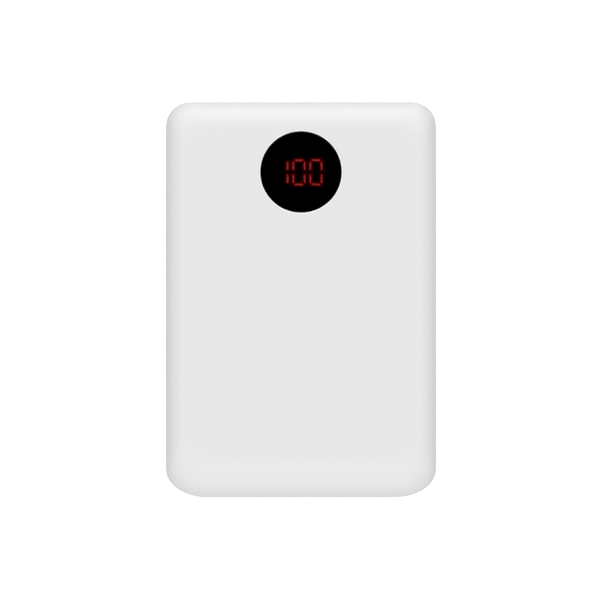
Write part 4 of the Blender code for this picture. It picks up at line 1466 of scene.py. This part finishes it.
@dataclass
class Display:
    """The smoked lens in its ring, and the three lit digits behind it."""

    shown: tuple[Numeral, ...] = (Numeral.ONE, Numeral.ZERO, Numeral.ZERO)
    pitch: float = 3.86 * MM
    width: float = 2.54 * MM
    height: float = 5.5 * MM
    bar_width: float = 0.38 * MM
    bar_gap: float = 0.29 * MM
    bar_waist: float = 0.54 * MM
    bar_end: float = 0.37 * MM
    bar_clear: float = 0.05 * MM
    bar_edge: float = 0.06 * MM
    plate_thickness: float = 1.0 * MM
    plate_top: float = 19.05 * MM
    plate_edge: float = 0.1 * MM
    rim: float = 0.7 * MM
    housing_edge: float = 0.15 * MM
    lens_edge: float = 0.16 * MM
    lens_back_edge: float = 0.08 * MM
    lens_crown: float = 0.02 * MM
    crown_rings: Triple = (0.6 * MM, 2.2 * MM, 3.0 * MM)
    lens_gap: float = 0.03 * MM
    ring_edge: float = 0.1 * MM
    print_gap: float = 0.01 * MM
    print_overlap: float = 0.018 * MM
    print_thickness: float = 0.04 * MM
    print_window: Pair = (12.0 * MM, 7.0 * MM)
    print_corner: float = 0.6 * MM
    film_border: float = 0.2 * MM
    film_cell: float = 0.12 * MM
    film_thickness: float = 0.02 * MM
    spill_level: float = 0.4
    spill_reach: float = 0.15 * MM

    def lens(self) -> Workpiece:
        """The round lens, with its edges rounded and its face very slightly crowned.

        Returns:
            The lens.
        """
        low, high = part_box("display_lens")
        centre = middle_of(low, high)
        radius = (high.x - low.x) / 2
        disc = round_bar("smoked_lens", Axis.Z, radius, (centre.x, centre.y, low.z), FINE_STEPS)
        first, second, third = self.crown_rings
        rings = evens((self.lens_back_edge, low.z), (0.0, low.z + self.lens_back_edge))
        rings += softened(0.0, high.z - self.lens_crown, self.lens_edge, 1, steps=6)
        rings += evens((first, high.z - self.lens_crown / 2), (second, high.z), (third, high.z))
        return disc.solid(rings)

    def bezel(self) -> Workpiece:
        """The white ring round the lens, with a rounded top; its finish adds a painted glow.

        Returns:
            The ring.
        """
        low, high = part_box("lens_bezel")
        lens_low, lens_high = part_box("display_lens")
        centre = middle_of(low, high)
        outer = (high.x - low.x) / 2
        thickness = outer - (lens_high.x - lens_low.x) / 2 - self.lens_gap
        ring = round_bar("lens_ring_painted_glow", Axis.Z, outer, (centre.x, centre.y, low.z), FINE_STEPS)
        outside = softened(0.0, high.z, self.ring_edge, 1, steps=5)
        inside = [even(thickness - step.inset_u, step.level) for step in reversed(outside)]
        return ring.tube([even(0.0, low.z), *outside, *inside, even(thickness, low.z)])

    def lens_print(self) -> Workpiece:
        """The black layer printed behind the lens, with a window for the digits.

        Returns:
            The layer.
        """
        low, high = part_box("display_lens")
        module = middle_of(*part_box("display_housing"))
        centre = middle_of(low, high)
        top = low.z - self.print_gap
        bottom = top - self.print_thickness
        radius = (high.x - low.x) / 2 + self.print_overlap
        layer = round_bar("lens_print", Axis.Z, radius, (centre.x, centre.y, bottom), FINE_STEPS)
        disc = layer.solid(evens((0.0, bottom), (0.0, top)))
        place = (module.x, module.y, bottom)
        window = rounded("print_window", Axis.Z, self.print_window, place, self.print_corner)
        return disc.cut(window.solid(evens((0.0, bottom - BEYOND), (0.0, top + BEYOND))))

    def bar_size(self, stands: bool) -> Pair:
        """A bar's size along X and Y.

        Args:
            stands: True for an upright bar.

        Returns:
            The two sizes.
        """
        if stands:
            return self.bar_width, self.height / 2 - self.bar_waist - self.bar_end
        return self.width - 2 * self.bar_gap, self.bar_width

    def bar_place(self, digit: int, bar: Bar) -> Pair:
        """The middle of a bar, from the module's middle.

        Args:
            digit: The digit's number, from 0 at the left.
            bar: The bar.

        Returns:
            The place along X and Y.
        """
        across, up, stands = bar.value
        reach = self.height / 2 + (self.bar_waist - self.bar_end if stands else 0.0)
        return (digit - 1) * self.pitch + across * self.width / 2, up * reach

    def spill_at(self, x: float, y: float) -> float:
        """How much painted glow lies on a place, from 0 to 1.

        Args:
            x: The place along X, from the module's middle.
            y: The same along Y.

        Returns:
            The sum of what every lit bar spills there.
        """
        total = 0.0
        for digit, numeral in enumerate(self.shown):
            for bar in numeral.value:
                middle_x, middle_y = self.bar_place(digit, bar)
                size_x, size_y = self.bar_size(bar.value[2])
                away_x = max(abs(x - middle_x) - size_x / 2, 0.0)
                away_y = max(abs(y - middle_y) - size_y / 2, 0.0)
                total += math.exp(-math.hypot(away_x, away_y) / self.spill_reach)
        return min(self.spill_level * total, 1.0)

    def film(self) -> Workpiece:
        """The thin film on the digit housing, which carries a painted glow round the lit bars.

        Returns:
            The film, with its spill attribute.
        """
        low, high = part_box("display_housing")
        middle = middle_of(low, high)
        size = (high.x - low.x - 2 * self.film_border, high.y - low.y - 2 * self.film_border)
        centre = (middle.x, middle.y, high.z + self.film_thickness)
        Workpiece.clear()
        bpy.ops.mesh.primitive_grid_add(
            x_subdivisions=round(size[0] / self.film_cell),
            y_subdivisions=round(size[1] / self.film_cell),
            size=1.0,
            location=centre,
        )
        film = Workpiece.adopt("display_film")
        film.edit()
        bpy.ops.mesh.select_all(action="SELECT")
        film.resize((*size, 1.0), centre)
        film.done()
        wall = film.obj.modifiers.new("thickness", "SOLIDIFY")
        wall.thickness = self.film_thickness
        wall.offset = 1.0
        bpy.ops.object.modifier_apply(modifier=wall.name)
        spill = film.obj.data.attributes.new(SPILL, "FLOAT", "POINT")
        for vertex, mark in zip(film.obj.data.vertices, spill.data):
            mark.value = self.spill_at(vertex.co.x - middle.x, vertex.co.y - middle.y)
        return film

    def bars(
        self, name: str, bottom: float, top: float, grow: float
    ) -> dict[tuple[int, Bar], Workpiece]:
        """Every bar of every digit. One lying and one upright bar are modelled, the rest are copies.

        Args:
            name: The first part of each name.
            bottom: Where they start.
            top: Where they end.
            grow: How much wider they are than a bar.

        Returns:
            The bars by digit and place.
        """
        module = middle_of(*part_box("display_housing"))
        models = {}
        for stands in (False, True):
            size_x, size_y = self.bar_size(stands)
            size = (size_x + 2 * grow, size_y + 2 * grow)
            centre = (module.x, module.y, bottom)
            outline = rounded(f"{name}_model_{stands}", Axis.Z, size, centre, min(size) / 2, 1)
            rings = evens((0.0, bottom), (0.0, top - self.bar_edge), (self.bar_edge, top))
            models[stands] = outline.solid(rings)
        made = {}
        for digit in range(len(self.shown)):
            for bar in Bar:
                offset = (*self.bar_place(digit, bar), 0.0)
                made[digit, bar] = models[bar.value[2]].copy(f"{name}_{digit + 1}{bar.name}", offset)
        for model in models.values():
            bpy.data.objects.remove(model.obj)
        return made

    def light_guide(self) -> tuple[Workpiece, Workpiece]:
        """The light guide, as its lit bars and its dark bars on their plate.

        Returns:
            The lit bars, and the dark bars with their plate.
        """
        low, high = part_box("segment_light_guide")
        bars = self.bars("bar", self.plate_top - self.plate_thickness / 2, high.z, 0.0)
        lit = [bar for (digit, place), bar in bars.items() if place in self.shown[digit].value]
        dark = [bar for (digit, place), bar in bars.items() if place not in self.shown[digit].value]
        plate = Workpiece.block("unlit_bars", low, (high.x, high.y, self.plate_top), self.plate_edge)
        plate.add(Workpiece.merged("dark_bars", dark))
        return Workpiece.merged("lit_bars", lit), plate

    def housing(self) -> Workpiece:
        """The black block that keeps each bar's light apart.

        Returns:
            The block.
        """
        low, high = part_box("display_housing")
        block = Workpiece.block("digit_housing", low, high, self.housing_edge)
        hollow_low = (low.x + self.rim, low.y + self.rim, low.z - BEYOND)
        hollow_high = (high.x - self.rim, high.y - self.rim, self.plate_top + self.plate_edge)
        block.cut(Workpiece.block("housing_hollow", hollow_low, hollow_high))
        holes = self.bars("hole", self.plate_top - BEYOND / 2, high.z + BEYOND, self.bar_clear)
        return block.cut(Workpiece.merged("bar_holes", list(holes.values())))

    def build(self, fitter: Fitter) -> None:
        """Builds and fits the display's pieces.

        Args:
            fitter: Finishes the pieces.
        """
        fitter.fit(self.lens(), "smoked_lens", ["display_lens"])
        # the ring's finish carries a painted glow that stands for light caught on its edge
        fitter.fit(self.bezel(), "bright_white", ["lens_bezel"], angle=50.0)
        fitter.fit(self.lens_print(), "black_plastic")
        # the film's emission is a painted glow round the lit bars
        fitter.fit(self.film(), "red_diffuser", finish="painted_spill_red")
        fitter.fit(self.housing(), "black_plastic", ["display_housing"])
        lit, dark = self.light_guide()
        fitter.fit(lit, "red_diffuser", ["segment_light_guide"], finish="lit_red")
        fitter.fit(dark, "red_diffuser", ["segment_light_guide"])


# --- The sockets ---


@dataclass(frozen=True)
class SocketForm:
    """One kind of socket.

    Attributes:
        corner: The radius of its outer corners. Half its height makes round ends.
        cut_corners: How far its two lower corners are cut off.
        body_depth: How deep its insulating block is.
        blade: The tongue's width and thickness.
        blade_rise: How far the tongue's middle lies above the socket's middle.
        springs: How far its contact springs lie from its middle.
    """

    corner: float
    cut_corners: float
    body_depth: float
    blade: Pair
    blade_rise: float
    springs: tuple[float, ...] = ()


@dataclass
class SocketPlate:
    """The plate at the display's end and the four sockets that it frames."""

    face: Pair = (49.8 * MM, 7.8 * MM)
    face_corner: float = 1.4 * MM
    face_border: float = 0.2 * MM
    flange_corner: float = 1.6 * MM
    flange_thickness: float = 1.2 * MM
    flange_inset: float = 0.8 * MM
    edge: float = 0.35 * MM
    soft_edge: float = 0.15 * MM
    mouth: float = 0.3 * MM
    mouth_curve: Pair = (0.3, 0.4)
    mouth_gap: float = 0.25 * MM
    sheet: float = 0.3 * MM
    shell_lip: float = 0.1 * MM
    spring_half: float = 0.7 * MM
    spring_span: Pair = (4.2 * MM, 1.4 * MM)
    spring_reach: float = 0.22 * MM
    tongue_gap: float = 0.1 * MM
    blade_corner: float = 0.2 * MM
    blade_nose: float = 0.25

    large = SocketForm(
        corner=0.45 * MM,
        cut_corners=0.0,
        body_depth=3.6 * MM,
        blade=(11.0 * MM, 1.84 * MM),
        blade_rise=0.99 * MM,
        springs=(-4.4 * MM, 4.4 * MM),
    )
    round_ended = SocketForm(
        corner=1.63 * MM,
        cut_corners=0.0,
        body_depth=1.5 * MM,
        blade=(6.6 * MM, 0.7 * MM),
        blade_rise=0.0,
    )
    small = SocketForm(
        corner=0.3 * MM,
        cut_corners=0.9 * MM,
        body_depth=1.5 * MM,
        blade=(3.7 * MM, 0.6 * MM),
        blade_rise=0.3 * MM,
    )

    def __post_init__(self) -> None:
        """Names each socket's form."""
        self.sockets = {
            "left_output": self.large,
            "right_output": self.large,
            "round_input": self.round_ended,
            "small_input": self.small,
        }

    def socket_outline(self, name: str, socket: str, grow: float) -> Sweep:
        """A socket's outline.

        Args:
            name: The object's name.
            socket: The socket's name.
            grow: How much wider the outline is on every side.

        Returns:
            The outline, ready to be swept along Y.
        """
        form = self.sockets[socket]
        low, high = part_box(f"{socket}_shell")
        centre = middle_of(low, high)
        size = (high.x - low.x + 2 * grow, high.z - low.z + 2 * grow)
        place = (centre.x, high.y, centre.z)
        if not form.cut_corners:
            return rounded(name, Axis.Y, size, place, form.corner + grow, steps=8)
        piece = Workpiece.rectangle(name, Axis.Y, size, place)
        piece.pick_vertices(lambda corner: corner.z < centre.z)
        piece.bevel(form.cut_corners, corners=True)
        bpy.ops.mesh.select_all(action="SELECT")
        piece.bevel(form.corner, steps=4, corners=True)
        return Sweep(piece, Axis.Y, (size[0] / 2, size[1] / 2), place)

    def plate(self) -> Workpiece:
        """The plate, with its flange and a flared mouth at each socket.

        Returns:
            The plate.
        """
        low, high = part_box("port_plate")
        centre = middle_of(low, high)
        flange_front = low.y + self.flange_thickness
        place = (centre.x, low.y, centre.z)
        face = rounded("socket_plate", Axis.Y, self.face, place, self.face_corner, steps=8)
        front = softened(0.0, high.y, self.edge, 1, steps=5)
        flat = even(self.edge + self.face_border, high.y)
        plate = face.solid([even(0.0, flange_front - BEYOND / 2), *front, flat])
        size = (high.x - low.x - self.flange_inset, high.z - low.z)
        flange = rounded("plate_flange", Axis.Y, size, place, self.flange_corner)
        flange_edge = softened(0.0, flange_front, self.soft_edge, 1, steps=2)
        plate.add(flange.solid([even(0.0, low.y), *flange_edge]))
        start, foot, *rim = flared(low.y - BEYOND, high.y, self.mouth)
        out, down = self.mouth_curve
        curve = even(-out * self.mouth, high.y - down * self.mouth)
        for socket in self.sockets:
            hole = self.socket_outline(f"{socket}_mouth", socket, self.mouth_gap)
            plate.cut(hole.solid([start, foot, curve, *rim]))
        return plate

    def shell(self, socket: str) -> Workpiece:
        """A socket's steel shell, with a rolled mouth and, on a large socket, pressed springs.

        Args:
            socket: The socket's name.

        Returns:
            The shell.
        """
        low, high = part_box(f"{socket}_shell")
        tube = self.socket_outline(f"{socket}_case", socket, 0.0)
        outside = softened(0.0, high.y, self.shell_lip, 1, steps=3)
        inside = [even(self.sheet - step.inset_u, step.level) for step in reversed(outside)]
        shell = tube.tube([even(0.0, low.y), *outside, *inside, even(self.sheet, low.y)])
        back, front = (high.y - depth for depth in self.spring_span)
        for number, offset in enumerate(self.sockets[socket].springs, 1):
            middle = middle_of(low, high).x + offset
            for side, level in (("low", low.z + self.sheet), ("high", high.z - self.sheet)):
                spring_low = (middle - self.spring_half, back, level - self.spring_reach)
                spring_high = (middle + self.spring_half, front, level + self.spring_reach)
                name = f"{socket}_spring_{side}_{number}"
                shell.add(Workpiece.block(name, spring_low, spring_high, self.soft_edge))
        return shell

    def tongue(self, socket: str) -> Workpiece:
        """A socket's insulating block, with the tongue that stands out of it.

        Args:
            socket: The socket's name.

        Returns:
            The block with its tongue.
        """
        form = self.sockets[socket]
        low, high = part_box(f"{socket}_tongue")
        shell_low, shell_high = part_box(f"{socket}_shell")
        centre = middle_of(shell_low, shell_high)
        front = shell_low.y + form.body_depth
        block = self.socket_outline(f"{socket}_insulator", socket, -self.sheet - self.tongue_gap)
        body = block.solid([even(0.0, low.y), *softened(0.0, front, self.soft_edge, 1, steps=2)])
        place = (centre.x, low.y, centre.z + form.blade_rise)
        blade = rounded(f"{socket}_blade", Axis.Y, form.blade, place, self.blade_corner, steps=4)
        tip = softened(0.0, high.y, self.blade_nose * min(form.blade), 1, steps=3)
        return body.add(blade.solid([even(0.0, front - BEYOND / 2), *tip]))

    def build(self, fitter: Fitter) -> None:
        """Builds and fits the plate and the sockets.

        Args:
            fitter: Finishes the pieces.
        """
        fitter.fit(self.plate(), "white_satin", ["port_plate"])
        for socket in self.sockets:
            fitter.fit(self.shell(socket), "socket_steel", [f"{socket}_shell"])
            fitter.fit(self.tongue(socket), "black_plastic", [f"{socket}_tongue"])


# --- The button ---


@dataclass
class PowerButton:
    """The button in the casing's side: a crowned cap, its flange and the stem that meets the switch."""

    cap: Pair = (10.0 * MM, 3.8 * MM)
    flange_thickness: float = 0.9 * MM
    stem_length: float = 0.6 * MM
    stem_radius: float = 1.4 * MM
    edge: float = 0.35 * MM
    back_edge: float = 0.1 * MM
    crown: float = 0.06 * MM
    crown_rings: Pair = (0.7 * MM, 1.15 * MM)
    crown_drop: float = 0.3

    def cap_piece(self) -> Workpiece:
        """The whole button as one moulding.

        Returns:
            The button.
        """
        low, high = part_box("power_button")
        centre = middle_of(low, high)
        flange_back = low.x + self.stem_length
        flange_front = flange_back + self.flange_thickness
        at = (flange_back, centre.y, centre.z)
        foot = even(0.0, flange_back + self.flange_thickness / 2)
        side = softened(0.0, high.x - self.crown, self.edge, 1, steps=6)
        first, second = self.crown_rings
        face = evens((first, high.x - self.crown_drop * self.crown), (second, high.x))
        cap = pill("button_cap", Axis.X, self.cap, at, steps=16).solid([foot, *side, *face])
        size = (high.y - low.y, high.z - low.z)
        flange = pill("button_flange", Axis.X, size, at, steps=16)
        back = softened(0.0, flange_back, self.back_edge, -1, steps=2)[::-1]
        cap.add(flange.solid([*back, even(0.0, flange_front)]))
        stem = round_bar("button_stem", Axis.X, self.stem_radius, at, steps=48)
        end = evens((self.back_edge, low.x), (0.0, low.x + self.back_edge), (0.0, flange_front))
        return cap.add(stem.solid(end))

    def build(self, fitter: Fitter) -> None:
        """Builds and fits the button.

        Args:
            fitter: Finishes the pieces.
        """
        fitter.fit(self.cap_piece(), "white_gloss", ["power_button"], body=BUTTON_BODY)


# --- The studio ---


@dataclass
class Studio:
    """The floor, the soft light round the object and the camera over it."""

    floor_size: float = 8.0
    floor_level: float = -0.05 * MM
    floor_colour: Colour = (0.90, 0.90, 0.90)
    floor_light: float = 0.45
    floor_roughness: float = 0.9
    floor_bounce: Colour = (0.35, 0.35, 0.35)
    bounce_light: float = 0.18
    camera_height: float = 0.5198
    camera_shift: Pair = (-0.23 * MM, -0.02 * MM)
    lens_mm: float = 135.0
    nearest: float = 0.01
    end_light: Pair = (2.05, 1.8)
    front_light: Pair = (1.56, 1.6)
    side_light: Pair = (0.49, 0.64)
    overhead_fade: Pair = (0.9, 0.985)

    def floor(self) -> None:
        """Lays a pale floor, which glows a little as a light table does. From below it is clear."""
        Workpiece.clear()
        place = (0.0, 0.0, self.floor_level)
        bpy.ops.mesh.primitive_plane_add(size=self.floor_size, location=place)
        plane = Workpiece.adopt("studio_floor").obj
        made = bpy.data.materials.new("floor_paper")
        made.use_nodes = True
        sheet = NodeSheet(made.node_tree)
        shader = made.node_tree.nodes["Principled BSDF"]
        values = {
            "Base Color": (*self.floor_colour, 1.0),
            "Roughness": self.floor_roughness,
            "Specular IOR Level": 0.0,
            "Emission Color": (1.0, 1.0, 1.0, 1.0),
            "Emission Strength": self.floor_light,
        }
        for label, value in values.items():
            shader.inputs[label].default_value = value
        paper = sheet.add("ShaderNodeBsdfDiffuse", {"Color": (*self.floor_bounce, 1.0)})
        glow = sheet.add("ShaderNodeEmission", {"Strength": self.bounce_light})
        bounce = sheet.add("ShaderNodeAddShader", {0: paper.outputs[0], 1: glow.outputs[0]})
        seen = sheet.add("ShaderNodeLightPath", {}).outputs["Is Camera Ray"]
        below = sheet.add("ShaderNodeNewGeometry", {}).outputs["Backfacing"]
        clear = sheet.add("ShaderNodeBsdfTransparent", {})
        surface = sheet.mix(below, sheet.mix(seen, bounce, shader), clear)
        sheet.feed(made.node_tree.nodes["Material Output"].inputs["Surface"], surface.outputs[0])
        plane.data.materials.append(made)
        plane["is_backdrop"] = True

    def surroundings(self) -> None:
        """Wraps the set in soft light: most from the two ends, less from the sides, none overhead."""
        world = bpy.data.worlds.new("soft_surroundings")
        world.use_nodes = True
        bpy.context.scene.world = world
        sheet = NodeSheet(world.node_tree)
        background = world.node_tree.nodes["Background"]
        direction = sheet.add("ShaderNodeTexCoord", {}).outputs["Generated"]
        x, y, z = sheet.add("ShaderNodeSeparateXYZ", {"Vector": direction}).outputs

        def rising(levels: Pair) -> bpy.types.NodeSocket:
            """A light that changes from the horizon to straight overhead."""
            values = {"Value": z, "To Min": levels[0], "To Max": levels[1]}
            return sheet.add("ShaderNodeMapRange", values).outputs[0]

        lengthwise = sheet.maths("MULTIPLY", y, y)
        level = sheet.maths("MAXIMUM", sheet.maths("MULTIPLY_ADD", x, x, lengthwise), SMALLEST)
        lengthwise = sheet.maths("DIVIDE", lengthwise, level)
        behind = sheet.maths("GREATER_THAN", y, 0.0)
        front = rising(self.front_light)
        change = sheet.maths("SUBTRACT", rising(self.end_light), front)
        ends = sheet.maths("MULTIPLY_ADD", behind, change, front)
        side = rising(self.side_light)
        rest = sheet.maths("SUBTRACT", ends, side)
        light = sheet.maths("MULTIPLY_ADD", lengthwise, rest, side)
        low, high = self.overhead_fade
        values = {"Value": z, "From Min": low, "From Max": high, "To Min": 1.0, "To Max": 0.0}
        fade = sheet.add("ShaderNodeMapRange", values).outputs[0]
        light = sheet.maths("MULTIPLY", light, fade)
        seen = sheet.add("ShaderNodeLightPath", {}).outputs["Is Camera Ray"]
        sheet.feed(background.inputs["Color"], sheet.maths("MAXIMUM", seen, light))

    def camera(self, middle: Vector) -> None:
        """Sets the camera straight over the object, with +Y up in its view.

        Args:
            middle: The object's middle.
        """
        lens = bpy.data.cameras.new("camera")
        lens.lens = self.lens_mm
        lens.clip_start = self.nearest
        obj = bpy.data.objects.new("camera", lens)
        bpy.context.scene.collection.objects.link(obj)
        across, up = self.camera_shift
        obj.location = middle + Vector((across, up, self.camera_height))
        bpy.context.scene.camera = obj

    def build(self) -> None:
        """Sets up the whole studio."""
        self.camera(middle_of(*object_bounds()))
        self.floor()
        self.surroundings()
        bpy.context.scene.view_settings.view_transform = "Standard"


# --- The whole ---


def main() -> None:
    """Builds everything in order."""
    logging.basicConfig(level=logging.INFO, format="%(name)s: %(message)s")
    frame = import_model()
    Studio().build()
    fitter = Fitter(frame)
    fitter.dress_nodes({row["node"]: row["material_slot"] for row in frame["record"]["subparts"]})
    Casing().build(fitter)
    Display().build(fitter)
    SocketPlate().build(fitter)
    PowerButton().build(fitter)
    Workpiece.clear()


if __name__ == "__main__":
    main()
